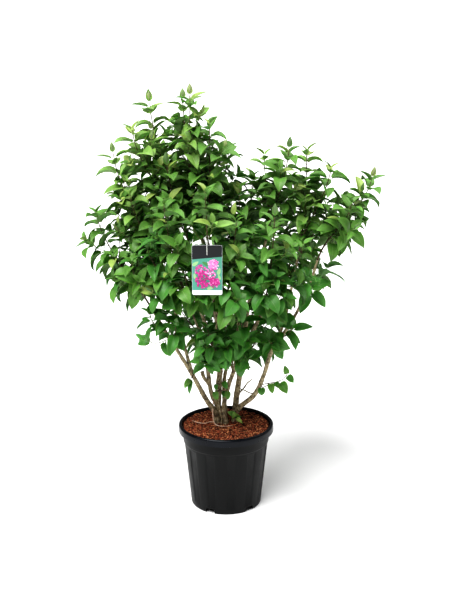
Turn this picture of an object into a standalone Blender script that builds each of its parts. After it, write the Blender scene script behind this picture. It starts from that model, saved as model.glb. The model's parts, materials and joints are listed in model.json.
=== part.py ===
"""A many-stemmed lilac in a round nursery pot, with a tag hung on one of its twigs.

Metres, +Z up, and the plant's front faces -Y. The origin is the centre of the pot's flat underside.
Stems and boughs are single tapering limbs. Each mass of foliage is one solid: twigs that branch from
one stem by a seeded rule, with the leaves fused on in opposite pairs.
"""

import math
import random
from collections import namedtuple

import bmesh
import bpy
from mathutils import Matrix, Vector
from mathutils.bvhtree import BVHTree

GAP = 0.0003  # between pieces that touch
UP = Vector((0, 0, 1))
GUIDES = "potted lilac guides"

# The pot: radii and heights of its turned wall.
POT_HEIGHT = 0.318
POT_WALL = 0.004
POT_FOOT_RADIUS = 0.1335
POT_SHOULDER = (0.1585, 0.272)  # radius and height of the step under the collar
POT_COLLAR = ((0.1615, 0.277), (0.1630, 0.290), (0.1690, 0.302))
LIP_INNER = (0.1665, 0.312)
LIP_CREST_RADII = (0.1700, 0.1750)  # between these the lip is level at the pot's full height
LIP_SHOULDER = (0.1790, 0.3135)
LIP_OUTER = (0.1800, 0.3070)
SKIRT_FOOT = 0.290  # the rim's skirt hangs down to this height
SKIRT_WALL = 0.0035
SKIRT_ROOT = (0.1752, 0.3110)  # where the inside of the skirt meets the wall
FLOOR_RISE = 0.018  # the ring of floor between the foot and the middle pad is raised
PAD_RADIUS = 0.098
POT_STEPS = 30
FLUTES = 12
FLUTE_ANGLE = math.radians(15)
FLUTE_DEPTH = 0.002
FLUTE_FOOT, FLUTE_TOP = 0.024, 0.242
FLUTE_STEPS = 3
CUTTER_BEYOND = 0.010  # how far the cutters of flutes and notches stand out from the wall
FLUTE_PHASE = math.radians(-22)  # the first flute's middle, from the front towards +X
NOTCHES = 6
NOTCH_WIDTH, NOTCH_HEIGHT = 0.032, 0.016

# The substrate: level under the stems and a little lower at the wall.
SOIL_TOP, SOIL_EDGE = 0.306, 0.300
SOIL_LEVEL_RADIUS = 0.105
SOIL_TO_WALL = 0.001  # gap round its top edge

# The tag.
TAG_WIDTH, TAG_HEIGHT, TAG_THICKNESS = 0.100, 0.168, 0.001
TAG_LOWER_CORNER, TAG_UPPER_CORNER = 0.007, 0.003
TAG_AHEAD = 0.026  # how far it hangs in front of its twig
TAG_CLEAR = 0.060  # depth of the room kept free of leaves in front of it
SLOT_HALF_WIDTH, SLOT_HEIGHT, SLOT_DROP = 0.0022, 0.022, 0.012
STRAP_RADIUS = 0.0012
STRAP_HALF_WIDTH = 0.012
STRAP_SINK = 0.003
STRAP_POINTS = 12
STRAP_PLACES = 8  # tested along each of its edges
HANGS_ON, HANGS_FROM = "foliage_front", 1.096  # its twig, and the height at which the strap goes round it
TAG_TOP = 1.072

# Limbs.
LIMB_STEPS = 2  # between two places on an axis
STEM_FLARE, BOUGH_FLARE = 0.35, 0.12  # how much wider a limb is at its very root
FLARE_FALL = 22  # how fast the flare dies away along a limb
TAPER_POWER = 0.8
STEM_ROOT_DEPTH = 0.012  # a stem starts this far down and is cut off level with the substrate

# Foliage.
LEAF_LENGTH, LEAF_WIDTH, LEAF_THICKNESS = 0.122, 0.090, 0.0026
WIDEST_AT, THICKEST_AT = 0.42, 0.15  # shares of the leaf's length
FOLD = 0.16  # how far its edges stand above its midrib, as a share of its width
LOWEST_LEAF = SOIL_TOP + 0.015
SUNK = 0.0004  # how far past a twig's axis a leaf's root goes
TWIG_SIDES = 3
LEADER_RADII = (0.0042, 0.0022)
LEADER_STEP = 0.085
LEADER_HANDLE = 0.32  # length of a leader's curve handles, as a share of its reach
LEADER_LEAN = 0.35  # how far a leader's end leans the way it came, against upright
LEADER_SHRINK = 0.18  # each further leader is thinner by this share
SHOOT_RADII = (0.0028, 0.0018)
SHOOT_ANGLE = math.radians(42)
SHOOT_RISE = 0.5  # how far a shoot's outer part turns upwards
SHOOT_BEND = 0.55  # share of its length at which it turns
SHOOTS_FROM, SHOOTS_ALONG = 0.30, 0.50  # the part of a leader that bears shoots: its start and its length
SPIRAL = math.radians(137)
INTERNODE = 0.122
TIP_INTERNODE = 0.34  # the second pair is nearer the tip by this factor
TIP_NODE = 0.004
LEADER_LEAFY, SHOOT_LEAFY = 0.86, 0.90  # shares of a twig's length that bear leaves
NODES_TO_AGE = 4  # a leaf this many nodes from the tip hangs fully
YOUNG_SIZE, SIZE_GAIN = 0.60, 0.20
YOUNG_LIFT, DROOP, LIFT_SPREAD = math.radians(58), math.radians(75), math.radians(12)
SAG = 0.45
STRAY = 0.12
SQUARE_START = 0.008  # a mass's stem leaves its bough's tip straight for this far
FORK_DISTANCE = 0.036  # and its other leaders fork from it here
TRIES = 5
SPARE = 0.0006  # kept clear round a leaf that is being placed
OWN_SPACE = 0.012  # a leaf may reach this much nearer another mass's twigs than its own

Limb = namedtuple("Limb", "points radii sides parent")
Mass = namedtuple("Mass", "limb at reach shoots leaders")

# Limbs: places along the axis, the radii at its two ends, its number of sides, and the limb it forks from.
LIMBS = {
    "stem_left": Limb(
        ((-0.034, 0.032, SOIL_TOP), (-0.031, 0.040, 0.37), (-0.027, 0.050, 0.46), (-0.024, 0.050, 0.56),
         (-0.050, 0.030, 0.85), (-0.106, 0.000, 1.12)),
        (0.0145, 0.0060), 7, None),
    "stem_centre": Limb(
        ((-0.002, 0.016, SOIL_TOP), (-0.008, 0.018, 0.38), (0.012, 0.010, 0.47), (0.038, -0.008, 0.57),
         (0.050, -0.020, 0.82)),
        (0.0115, 0.0052), 7, None),
    "stem_centre_back": Limb(
        ((-0.004, 0.078, SOIL_TOP), (-0.008, 0.085, 0.45), (0.008, 0.105, 0.54), (0.012, 0.175, 0.67),
         (0.020, 0.240, 0.78)),
        (0.0100, 0.0046), 5, None),
    "stem_right": Limb(
        ((0.033, 0.048, SOIL_TOP), (0.040, 0.034, 0.41), (0.058, 0.020, 0.54), (0.088, 0.000, 0.80),
         (0.146, 0.000, 1.02)),
        (0.0140, 0.0058), 7, None),
    "bough_left_outer": Limb(
        ((-0.034, 0.034, 0.335), (-0.075, 0.002, 0.41), (-0.128, -0.038, 0.53), (-0.185, -0.078, 0.645),
         (-0.222, -0.100, 0.72), (-0.268, -0.095, 0.80)),
        (0.0115, 0.0052), 7, "stem_left"),
    "bough_left_inner": Limb(
        ((-0.124, -0.035, 0.52), (-0.150, -0.046, 0.63), (-0.170, -0.046, 0.71), (-0.205, -0.020, 0.86)),
        (0.0080, 0.0046), 5, "bough_left_outer"),
    "bough_left_upright": Limb(
        ((-0.031, 0.040, 0.365), (-0.057, 0.030, 0.43), (-0.070, 0.022, 0.54), (-0.082, 0.020, 0.72),
         (-0.130, 0.030, 0.98)),
        (0.0100, 0.0048), 5, "stem_left"),
    "bough_left_front": Limb(
        ((-0.070, 0.022, 0.55), (-0.082, -0.060, 0.66), (-0.110, -0.140, 0.77)),
        (0.0065, 0.0042), 5, "bough_left_upright"),
    "bough_left_back": Limb(
        ((-0.025, 0.050, 0.55), (-0.070, 0.100, 0.66), (-0.170, 0.160, 0.88)),
        (0.0070, 0.0043), 5, "stem_left"),
    "bough_front": Limb(
        ((0.038, -0.008, 0.57), (0.024, -0.080, 0.66), (-0.010, -0.160, 0.76)),
        (0.0065, 0.0042), 5, "stem_centre"),
    "bough_peak_back": Limb(
        ((0.012, 0.175, 0.67), (-0.016, 0.196, 0.78), (-0.060, 0.214, 0.94)),
        (0.0055, 0.0042), 5, "stem_centre_back"),
    "bough_right_front": Limb(
        ((0.066, 0.014, 0.60), (0.092, -0.070, 0.69), (0.118, -0.140, 0.77)),
        (0.0065, 0.0042), 5, "stem_right"),
    "bough_right_back": Limb(
        ((0.058, 0.020, 0.54), (0.100, 0.090, 0.64), (0.190, 0.160, 0.80)),
        (0.0070, 0.0043), 5, "stem_right"),
    "bough_right_outer": Limb(
        ((0.034, 0.045, 0.335), (0.054, 0.016, 0.375), (0.108, -0.026, 0.440), (0.142, -0.046, 0.525),
         (0.170, -0.058, 0.620), (0.240, -0.052, 0.730), (0.298, -0.030, 0.840), (0.334, -0.008, 0.950)),
        (0.0115, 0.0052), 7, "stem_right"),
    "bough_right_inner": Limb(
        ((0.186, -0.058, 0.648), (0.222, -0.030, 0.76), (0.266, 0.006, 0.97)),
        (0.0070, 0.0044), 5, "bough_right_outer"),
}

# Masses: the limb each grows from, the share of that limb's length where it starts (1 is the tip), how
# far its side shoots reach, how many each leader has, and where its leading twigs end.
MASSES = {
    "foliage_left_peak": Mass("stem_left", 1.0, 0.13, 1, (
        (-0.121, -0.030, 1.535), (-0.150, 0.060, 1.515), (-0.080, 0.090, 1.380))),
    "foliage_peak_right": Mass("stem_left", 0.80, 0.14, 1, (
        (-0.052, -0.080, 1.440), (0.012, 0.020, 1.345))),
    "foliage_left_shoulder": Mass("bough_left_upright", 1.0, 0.14, 1, (
        (-0.268, 0.060, 1.505), (-0.320, -0.060, 1.420), (-0.200, -0.090, 1.300))),
    "foliage_left_flank": Mass("bough_left_inner", 1.0, 0.14, 1, (
        (-0.401, 0.040, 1.330), (-0.390, 0.140, 1.190), (-0.330, -0.090, 1.200))),
    "foliage_left_low": Mass("bough_left_outer", 1.0, 0.13, 1, (
        (-0.462, -0.070, 1.130), (-0.425, 0.030, 0.960), (-0.350, -0.190, 0.980))),
    "foliage_left_front": Mass("bough_left_front", 1.0, 0.14, 1, (
        (-0.200, -0.260, 1.190), (-0.265, -0.220, 1.050), (-0.130, -0.290, 0.980))),
    "foliage_left_back": Mass("bough_left_back", 1.0, 0.15, 1, (
        (-0.250, 0.300, 1.320), (-0.355, 0.280, 1.140), (-0.270, 0.240, 0.980))),
    "foliage_peak_back": Mass("bough_peak_back", 1.0, 0.15, 1, (
        (-0.130, 0.220, 1.360), (-0.040, 0.330, 1.220))),
    "foliage_front": Mass("bough_front", 1.0, 0.14, 1, (
        (-0.060, -0.330, 1.240), (0.040, -0.300, 1.140), (0.020, -0.310, 0.950))),
    "foliage_saddle": Mass("stem_centre", 1.0, 0.14, 1, (
        (0.050, -0.060, 1.210), (0.100, 0.090, 1.240), (-0.010, 0.090, 1.120))),
    "foliage_back": Mass("stem_centre_back", 1.0, 0.15, 1, (
        (0.020, 0.350, 1.130), (0.145, 0.340, 1.110), (0.050, 0.330, 0.930))),
    "foliage_right_peak": Mass("stem_right", 1.0, 0.13, 1, (
        (0.139, 0.050, 1.320), (0.223, -0.045, 1.355))),
    "foliage_right_shoulder": Mass("bough_right_inner", 1.0, 0.13, 1, (
        (0.293, 0.060, 1.335), (0.373, -0.020, 1.283))),
    "foliage_right_reach": Mass("bough_right_outer", 1.0, 0.13, 1, (
        (0.525, 0.020, 1.245), (0.440, -0.100, 1.170), (0.430, 0.120, 1.100))),
    "foliage_right_low": Mass("bough_right_outer", 0.80, 0.13, 1, (
        (0.355, -0.140, 0.880), (0.375, 0.080, 0.920))),
    "foliage_right_front": Mass("bough_right_front", 1.0, 0.14, 1, (
        (0.165, -0.310, 1.160), (0.265, -0.230, 1.050), (0.180, -0.280, 0.930))),
    "foliage_right_back": Mass("bough_right_back", 1.0, 0.15, 1, (
        (0.255, 0.290, 1.210), (0.385, 0.250, 1.110), (0.290, 0.230, 0.940))),
    "foliage_skirt_left": Mass("bough_left_outer", 0.66, 0.13, 2, (
        (-0.265, -0.180, 0.800), (-0.170, -0.220, 0.760))),
    "foliage_skirt_front": Mass("stem_centre", 0.42, 0.13, 1, (
        (0.060, -0.230, 0.800), (-0.060, -0.220, 0.750), (0.000, -0.130, 0.680))),
    "foliage_skirt_right": Mass("bough_right_outer", 0.56, 0.13, 2, (
        (0.235, -0.180, 0.750), (0.155, -0.190, 0.700))),
    "foliage_skirt_back": Mass("stem_right", 0.24, 0.13, 1, (
        (0.060, 0.270, 0.720), (0.165, 0.230, 0.710))),
    "foliage_skirt_back_left": Mass("stem_centre_back", 0.42, 0.13, 1, (
        (-0.190, 0.210, 0.740), (-0.070, 0.280, 0.750))),
    "sprig_right": Mass("bough_right_outer", 0.30, 0.06, 0, ((0.225, -0.070, 0.540),)),
    "sprig_left": Mass("bough_left_outer", 0.40, 0.06, 0, ((-0.150, -0.110, 0.560),)),
    "sprig_centre": Mass("stem_left", 0.15, 0.06, 0, ((-0.005, -0.040, 0.500),)),
    "sprig_foot": Mass("stem_right", 0.040, 0.05, 0, ((0.010, -0.024, 0.350),)),
}

SURFACE_ROOT = ((-0.052, 0.004), (-0.072, -0.006), (-0.098, 0.006), (-0.128, 0.020))
SURFACE_ROOT_RADII = (0.0022, 0.0014)
SURFACE_ROOT_SIDES = 5


# ---------------------------------------------------------------- scene, materials and small tools

def clear_scene():
    for thing in list(bpy.data.objects):
        bpy.data.objects.remove(thing)


def new_collection(name):
    made = bpy.data.collections.new(name)
    bpy.context.scene.collection.children.link(made)
    return made


def finish(name, colour, roughness):
    """A Principled material; the colour is linear."""
    made = bpy.data.materials.new(name)
    made.use_nodes = True
    shader = made.node_tree.nodes["Principled BSDF"]
    shader.inputs["Base Color"].default_value = (*colour, 1)
    shader.inputs["Roughness"].default_value = roughness
    return made


def add_object(name, data, collection, material=None):
    thing = bpy.data.objects.new(name, data)
    collection.objects.link(thing)
    if material:
        data.materials.append(material)
    return thing


def to_mesh_object(curve, collection):
    """The mesh object that replaces a curve, with its caps welded on."""
    bpy.context.view_layer.update()
    graph = bpy.context.evaluated_depsgraph_get()
    mesh = bpy.data.meshes.new_from_object(curve.evaluated_get(graph))
    mesh.transform(curve.matrix_world)
    weld(mesh)
    name = curve.name
    data = curve.data
    bpy.data.objects.remove(curve)
    bpy.data.curves.remove(data)
    return add_object(name, mesh, collection)


def weld(mesh):
    shape = bmesh.new()
    shape.from_mesh(mesh)
    bmesh.ops.remove_doubles(shape, verts=shape.verts, dist=0.00001)
    bmesh.ops.recalc_face_normals(shape, faces=shape.faces)
    shape.to_mesh(mesh)
    shape.free()


def apply_modifiers(thing):
    bpy.context.view_layer.update()
    graph = bpy.context.evaluated_depsgraph_get()
    mesh = bpy.data.meshes.new_from_object(thing.evaluated_get(graph))
    thing.modifiers.clear()
    thing.data = mesh


def keep_largest_body(mesh):
    """Drops every loose scrap but the body with the most vertices."""
    shape = bmesh.new()
    shape.from_mesh(mesh)
    left = set(shape.verts)
    bodies = []
    while left:
        body, front = set(), [left.pop()]
        while front:
            vert = front.pop()
            body.add(vert)
            near = {edge.other_vert(vert) for edge in vert.link_edges} & left
            left -= near
            front.extend(near)
        bodies.append(body)
    bodies.sort(key=len)
    for body in bodies[:-1]:
        bmesh.ops.delete(shape, geom=list(body), context="VERTS")
    shape.to_mesh(mesh)
    shape.free()


def turned(name, profile, collection, material):
    """A profile of (radius, height), from the axis and down its outer side, turned about Z."""
    shape = bmesh.new()
    points = [shape.verts.new((radius, 0, height)) for radius, height in profile]
    for first, second in zip(points, points[1:]):
        shape.edges.new((first, second))
    mesh = bpy.data.meshes.new(name)
    shape.to_mesh(mesh)
    shape.free()
    thing = add_object(name, mesh, collection, material)
    screw = thing.modifiers.new("Turn", "SCREW")
    screw.steps = screw.render_steps = POT_STEPS
    screw.use_merge_vertices = True
    screw.merge_threshold = 0.00001
    screw.use_smooth_shade = False
    return thing


# ---------------------------------------------------------------- pot and substrate

def wall_outer():
    """The pot's outer wall under the lip, from the foot up."""
    return [(POT_FOOT_RADIUS, 0), POT_SHOULDER, *POT_COLLAR]


def wall_inner():
    """The inside of the same wall, from the raised floor up."""
    foot, shoulder = POT_FOOT_RADIUS, POT_SHOULDER
    floor = FLOOR_RISE + POT_WALL
    slope = (shoulder[0] - foot) / shoulder[1]
    corners = (POT_SHOULDER, POT_COLLAR[-1])
    return [(foot + slope * floor - POT_WALL, floor)] + [(r - POT_WALL, z) for r, z in corners]


def pot_profile():
    crest = [(radius, POT_HEIGHT) for radius in LIP_CREST_RADII]
    skirt = [(LIP_OUTER[0], SKIRT_FOOT), (LIP_OUTER[0] - SKIRT_WALL, SKIRT_FOOT)]
    lip = [LIP_INNER, *crest, LIP_SHOULDER, LIP_OUTER, *skirt, SKIRT_ROOT]
    foot_inner = POT_FOOT_RADIUS - POT_WALL
    pad_inner = PAD_RADIUS - POT_WALL
    inside = [(0, POT_WALL), (pad_inner, POT_WALL), (pad_inner, FLOOR_RISE + POT_WALL)]
    underside = [(foot_inner, 0), (foot_inner, FLOOR_RISE), (PAD_RADIUS, FLOOR_RISE), (PAD_RADIUS, 0), (0, 0)]
    return inside + wall_inner() + lip + wall_outer()[::-1] + underside


def soil_profile():
    wall = [(r - GAP, z + GAP) for r, z in wall_inner()[:-1]]
    under_pad = PAD_RADIUS - POT_WALL - GAP
    floor = FLOOR_RISE + POT_WALL + GAP
    edge = wall_inner()[-1][0] - SOIL_TO_WALL
    return [(0, SOIL_TOP), (SOIL_LEVEL_RADIUS, SOIL_TOP), (edge, SOIL_EDGE), *wall[::-1],
            (under_pad, floor), (under_pad, POT_WALL + GAP), (0, POT_WALL + GAP)]


def flute_cutter(number, cutters):
    """A curved slab that follows the wall's taper and cuts one shallow flute."""
    slope = (POT_SHOULDER[0] - POT_FOOT_RADIUS) / POT_SHOULDER[1]
    corners = []
    for height, outwards in ((FLUTE_FOOT, 0), (FLUTE_FOOT, 1), (FLUTE_TOP, 1), (FLUTE_TOP, 0)):
        radius = POT_FOOT_RADIUS + slope * height
        corners.append((radius + (CUTTER_BEYOND if outwards else -FLUTE_DEPTH), 0, height))
    shape = bmesh.new()
    face = shape.faces.new([shape.verts.new(corner) for corner in corners])
    bmesh.ops.spin(shape, geom=[face, *face.verts, *face.edges], cent=(0, 0, 0), axis=(0, 0, 1),
                   angle=FLUTE_ANGLE, steps=FLUTE_STEPS)
    middle = FLUTE_PHASE - math.pi / 2 + number * 2 * math.pi / FLUTES
    turn = Matrix.Rotation(middle - FLUTE_ANGLE / 2, 4, "Z")
    bmesh.ops.transform(shape, matrix=turn, verts=shape.verts)
    bmesh.ops.recalc_face_normals(shape, faces=shape.faces)
    mesh = bpy.data.meshes.new("flute_cutter")
    shape.to_mesh(mesh)
    shape.free()
    return hide_cutter(add_object(f"flute_cutter_{number:02d}", mesh, cutters))


def notch_cutter(number, cutters):
    """A block that opens the foot ring for drainage."""
    shape = bmesh.new()
    bmesh.ops.create_cube(shape, size=1)
    bmesh.ops.scale(shape, vec=(2 * CUTTER_BEYOND, NOTCH_WIDTH, 2 * NOTCH_HEIGHT), verts=shape.verts)
    bmesh.ops.translate(shape, vec=(POT_FOOT_RADIUS, 0, 0), verts=shape.verts)
    middle = FLUTE_PHASE - math.pi / 2 + number * 2 * math.pi / NOTCHES
    bmesh.ops.transform(shape, matrix=Matrix.Rotation(middle, 4, "Z"), verts=shape.verts)
    mesh = bpy.data.meshes.new("notch_cutter")
    shape.to_mesh(mesh)
    shape.free()
    return hide_cutter(add_object(f"notch_cutter_{number}", mesh, cutters))


def hide_cutter(thing):
    thing.hide_render = True
    thing.display_type = "WIRE"
    return thing


def build_pot(parts, cutters):
    plastic = finish("black polypropylene", (0.012, 0.013, 0.015), 0.42)
    pot = turned("pot", pot_profile(), parts, plastic)
    for number in range(FLUTES):
        flute_cutter(number, cutters)
    for number in range(NOTCHES):
        notch_cutter(number, cutters)
    cut = pot.modifiers.new("Flutes and notches", "BOOLEAN")
    cut.operation = "DIFFERENCE"
    cut.operand_type = "COLLECTION"
    cut.collection = cutters
    return pot


def build_substrate(parts):
    return turned("substrate", soil_profile(), parts, finish("bark mulch", (0.13, 0.045, 0.022), 0.9))


# ---------------------------------------------------------------- limbs and twigs

def smooth_path(points, steps):
    """Points along a Catmull-Rom curve through the given ones, with this many steps between two."""
    points = [Vector(p) for p in points]
    ends = [2 * points[0] - points[1], *points, 2 * points[-1] - points[-2]]
    path = []
    for a, b, c, d in zip(ends, ends[1:], ends[2:], ends[3:]):
        for step in range(steps):
            t = step / steps
            path.append(0.5 * (2 * b + (c - a) * t + (2 * a - 5 * b + 4 * c - d) * t**2
                               + (3 * b - a - 3 * c + d) * t**3))
    return path + [points[-1]]


def point_along(path, share):
    """The place and the direction at this share of a path's length."""
    lengths = [(b - a).length for a, b in zip(path, path[1:])]
    left = share * sum(lengths)
    for a, b, length in zip(path, path[1:], lengths):
        if left <= length:
            return a.lerp(b, left / length), (b - a).normalized()
        left -= length
    return path[-1].copy(), (path[-1] - path[-2]).normalized()


def ring_curve(sides):
    """A ring of unit radius, as the section of a tube."""
    data = bpy.data.curves.new("section", "CURVE")
    spline = data.splines.new("POLY")
    spline.points.add(sides - 1)
    for number, point in enumerate(spline.points):
        angle = 2 * math.pi * number / sides
        point.co = (math.cos(angle), math.sin(angle), 0, 1)
    spline.use_cyclic_u = True
    return hide_cutter(add_object(f"section_{sides}", data, bpy.data.collections[GUIDES]))


def tube(name, path, radii, sides, collection):
    """A closed tube with these radii at the points of its path."""
    data = bpy.data.curves.new(name, "CURVE")
    data.dimensions = "3D"
    data.bevel_mode = "OBJECT"
    data.bevel_object = bpy.data.objects.get(f"section_{sides}") or ring_curve(sides)
    data.use_fill_caps = True
    spline = data.splines.new("POLY")
    spline.points.add(len(path) - 1)
    for point, place, radius in zip(spline.points, path, radii):
        point.co = (*place, 1)
        point.radius = radius
    return to_mesh_object(add_object(name, data, collection), collection)


def taper(radii, count, flare=0.0):
    """Radii from the first to the last, with the root flared by this share."""
    first, last = radii
    shares = [number / (count - 1) for number in range(count)]
    return [first + (last - first) * share**TAPER_POWER + first * flare * math.exp(-share * FLARE_FALL)
            for share in shares]


def flat_foot(thing, height):
    """Cuts a tube off level, so that it stands on the substrate."""
    shape = bmesh.new()
    shape.from_mesh(thing.data)
    cut = bmesh.ops.bisect_plane(shape, geom=[*shape.verts, *shape.edges, *shape.faces], dist=0.00001,
                                 plane_co=(0, 0, height), plane_no=(0, 0, -1), clear_outer=True)
    edges = [item for item in cut["geom_cut"] if isinstance(item, bmesh.types.BMEdge)]
    bmesh.ops.holes_fill(shape, edges=edges, sides=0)
    bmesh.ops.recalc_face_normals(shape, faces=shape.faces)
    shape.to_mesh(thing.data)
    shape.free()


def cut_clear(thing, other, path, radii, sides):
    """Cuts a forking piece off where it meets a limb, the usual gap clear of the limb's bark."""
    swollen = tube("clearance", path, [r + GAP / math.cos(math.pi / sides) for r in radii], sides, other)
    cut = thing.modifiers.new("Fork", "BOOLEAN")
    cut.operation = "DIFFERENCE"
    cut.object = swollen
    apply_modifiers(thing)
    bpy.data.objects.remove(swollen)
    keep_largest_body(thing.data)


def limb_path(name):
    """A limb's axis. A stem's runs a little below its flat foot, to be cut off level."""
    path = smooth_path(LIMBS[name].points, LIMB_STEPS)
    if LIMBS[name].parent is None:
        path.insert(0, path[0] - STEM_ROOT_DEPTH * UP)
    return path


def limb_radii(name, path):
    flare = STEM_FLARE if LIMBS[name].parent is None else BOUGH_FLARE
    return taper(LIMBS[name].radii, len(path), flare)


def build_limbs(parts, spare, bark):
    made = {}
    for name, limb in LIMBS.items():
        path = limb_path(name)
        thing = tube(name, path, limb_radii(name, path), limb.sides, parts)
        thing.data.materials.append(bark)
        if limb.parent is None:
            flat_foot(thing, SOIL_TOP + GAP)
        else:
            other = limb_path(limb.parent)
            cut_clear(thing, spare, other, limb_radii(limb.parent, other), LIMBS[limb.parent].sides)
        made[name] = thing
    return made


def build_surface_root(parts, bark):
    height = SOIL_TOP + GAP + SURFACE_ROOT_RADII[0]
    path = smooth_path([(x, y, height) for x, y in SURFACE_ROOT], LIMB_STEPS)
    thing = tube("surface_root", path, taper(SURFACE_ROOT_RADII, len(path)), SURFACE_ROOT_SIDES, parts)
    thing.data.materials.append(bark)
    return thing


# ---------------------------------------------------------------- foliage

Twig = namedtuple("Twig", "path radii leader")


def leader_path(start, direction, end):
    """A twig that leaves along a direction and ends upright."""
    reach = (end - start).length
    upright = (UP + LEADER_LEAN * (end - start).normalized()).normalized()
    handle = reach * LEADER_HANDLE
    a, b, c, d = start, start + direction * handle, end - upright * handle, end
    path = []
    steps = max(3, round(reach / LEADER_STEP))
    for step in range(steps + 1):
        t = step / steps
        path.append(a * (1 - t)**3 + 3 * b * t * (1 - t)**2 + 3 * c * t**2 * (1 - t) + d * t**3)
    return path


def leader_twigs(name):
    """The stem of a mass and the other leading twigs, which fork from it low down."""
    mass = MASSES[name]
    axis = limb_path(mass.limb)
    start, direction = point_along(axis, mass.at)
    ends = [Vector(end) for end in mass.leaders]
    if mass.at == 1:
        start = start + direction * GAP
    else:
        direction = (sum(ends, Vector()) / len(ends) - start).normalized()
    paths = [[start, *leader_path(start + direction * SQUARE_START, direction, ends[0])]]
    for end in ends[1:]:
        fork, along = point_along(paths[0], FORK_DISTANCE / (ends[0] - start).length)
        paths.append(leader_path(fork, (along + (end - fork).normalized()).normalized(), end))
    twigs = []
    for number, path in enumerate(paths):
        share = 1 - LEADER_SHRINK * number
        twigs.append(Twig(path, [radius * share for radius in taper(LEADER_RADII, len(path))], True))
    return twigs


def side_twigs(name, leaders, chance):
    """Side shoots that leave a leader at an angle and bend upwards."""
    mass = MASSES[name]
    shoots = []
    for leader in leaders:
        turn = chance.uniform(0, 2 * math.pi)
        for number in range(mass.shoots):
            share = SHOOTS_FROM + SHOOTS_ALONG * (number + chance.uniform(0.2, 0.8)) / mass.shoots
            root, along = point_along(leader.path, share)
            turn += SPIRAL
            way = along * math.cos(SHOOT_ANGLE) + sideways(along, turn) * math.sin(SHOOT_ANGLE)
            length = mass.reach * chance.uniform(0.75, 1.0)
            middle = root + way * length * SHOOT_BEND
            end = middle + (way + SHOOT_RISE * UP).normalized() * length * (1 - SHOOT_BEND)
            shoots.append(Twig([root, middle, end], taper(SHOOT_RADII, 3), False))
    return shoots


def leaf_shape(root, way, above, length, curl):
    """A thin drooping blade of eight faces, folded up along its midrib, from its root along a direction."""
    shape = bmesh.new()
    bmesh.ops.create_uvsphere(shape, u_segments=4, v_segments=2, radius=1)
    across = above.cross(way).normalized()
    normal = way.cross(across).normalized()
    width = LEAF_WIDTH * length / LEAF_LENGTH
    for vert in shape.verts:
        x, y, z = vert.co
        share = (x + 1) / 2
        if abs(y) > 0.5:
            share = WIDEST_AT
        elif abs(z) > 0.5:
            share = THICKEST_AT
        lift = FOLD * width * abs(y) - curl * share**2 + LEAF_THICKNESS / 2 * z
        vert.co = root + way * share * length + across * y * width / 2 + normal * lift
    bmesh.ops.recalc_face_normals(shape, faces=shape.faces)
    return shape


def swell(shape, distance):
    shape.normal_update()
    for vert, normal in [(vert, vert.normal.copy()) for vert in shape.verts]:
        vert.co += normal * distance


def leaf_frame(along, side, age, chance):
    """The direction in which a leaf points and its upper side: old leaves hang, young ones stand up."""
    lift = YOUNG_LIFT - DROOP * age + LIFT_SPREAD * chance.uniform(-1, 1)
    way = side * math.cos(lift) + along * math.sin(lift) - SAG * age * UP
    way = (way + STRAY * Vector([chance.uniform(-1, 1) for _ in range(3)])).normalized()
    above = along + 0.8 * UP
    return way, (above - above.dot(way) * way).normalized()


def leaf_nodes(twig, chance):
    """The nodes of a twig, from its tip down: share of its length, number and turn of the pair there."""
    length = sum((b - a).length for a, b in zip(twig.path, twig.path[1:]))
    nodes = []
    turn = chance.uniform(0, math.pi)
    back = TIP_NODE
    while back < length * (LEADER_LEAFY if twig.leader else SHOOT_LEAFY):
        nodes.append((1 - back / length, len(nodes), turn))
        back += INTERNODE * (TIP_INTERNODE if len(nodes) == 1 else 1.0) * chance.uniform(0.9, 1.1)
        turn += math.pi / 2
    return nodes


def nearest(place, paths):
    return min((place - point).length for path in paths for point in path)


def sideways(along, turn):
    """A direction square to another, turned about it."""
    side = along.orthogonal().normalized()
    side.rotate(Matrix.Rotation(turn, 3, along))
    return side


class Space:
    """What is already there, so that nothing that grows later runs into it."""

    def __init__(self):
        self.things = []

    @staticmethod
    def extent(points):
        middle = sum(points, Vector()) / len(points)
        return middle, max((point - middle).length for point in points)

    def add(self, shape, owner):
        middle, reach = self.extent([v.co.copy() for v in shape.verts])
        self.things.append((middle, reach, BVHTree.FromBMesh(shape), owner))

    def add_mesh(self, mesh, owner):
        shape = bmesh.new()
        shape.from_mesh(mesh)
        self.add(shape, owner)
        shape.free()

    def is_clear(self, shape, skip):
        """Whether a shape touches nothing but what the skipped owners have put here."""
        middle, reach = self.extent([v.co for v in shape.verts])
        tree = BVHTree.FromBMesh(shape)
        for other, spread, other_tree, owner in self.things:
            if owner not in skip and (other - middle).length < reach + spread and tree.overlap(other_tree):
                return False
        return True

    def mesh_is_clear(self, mesh, skip):
        shape = bmesh.new()
        shape.from_mesh(mesh)
        swell(shape, SPARE)
        clear = self.is_clear(shape, skip)
        shape.free()
        return clear


def twig_owner(name, number):
    return f"{name} twig {number}"


def grow_leaders(space, spare):
    """The stems and leading twigs of all the masses."""
    grown = {}
    for name, mass in MASSES.items():
        grown[name] = []
        for number, twig in enumerate(leader_twigs(name)):
            thing = tube(f"{name}_twig", twig.path, twig.radii, TWIG_SIDES, spare)
            if mass.at < 1 and number == 0:
                axis = limb_path(mass.limb)
                cut_clear(thing, spare, axis, limb_radii(mass.limb, axis), LIMBS[mass.limb].sides)
            space.add_mesh(thing.data, twig_owner(name, number))
            grown[name].append((twig, thing))
    return grown


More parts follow.
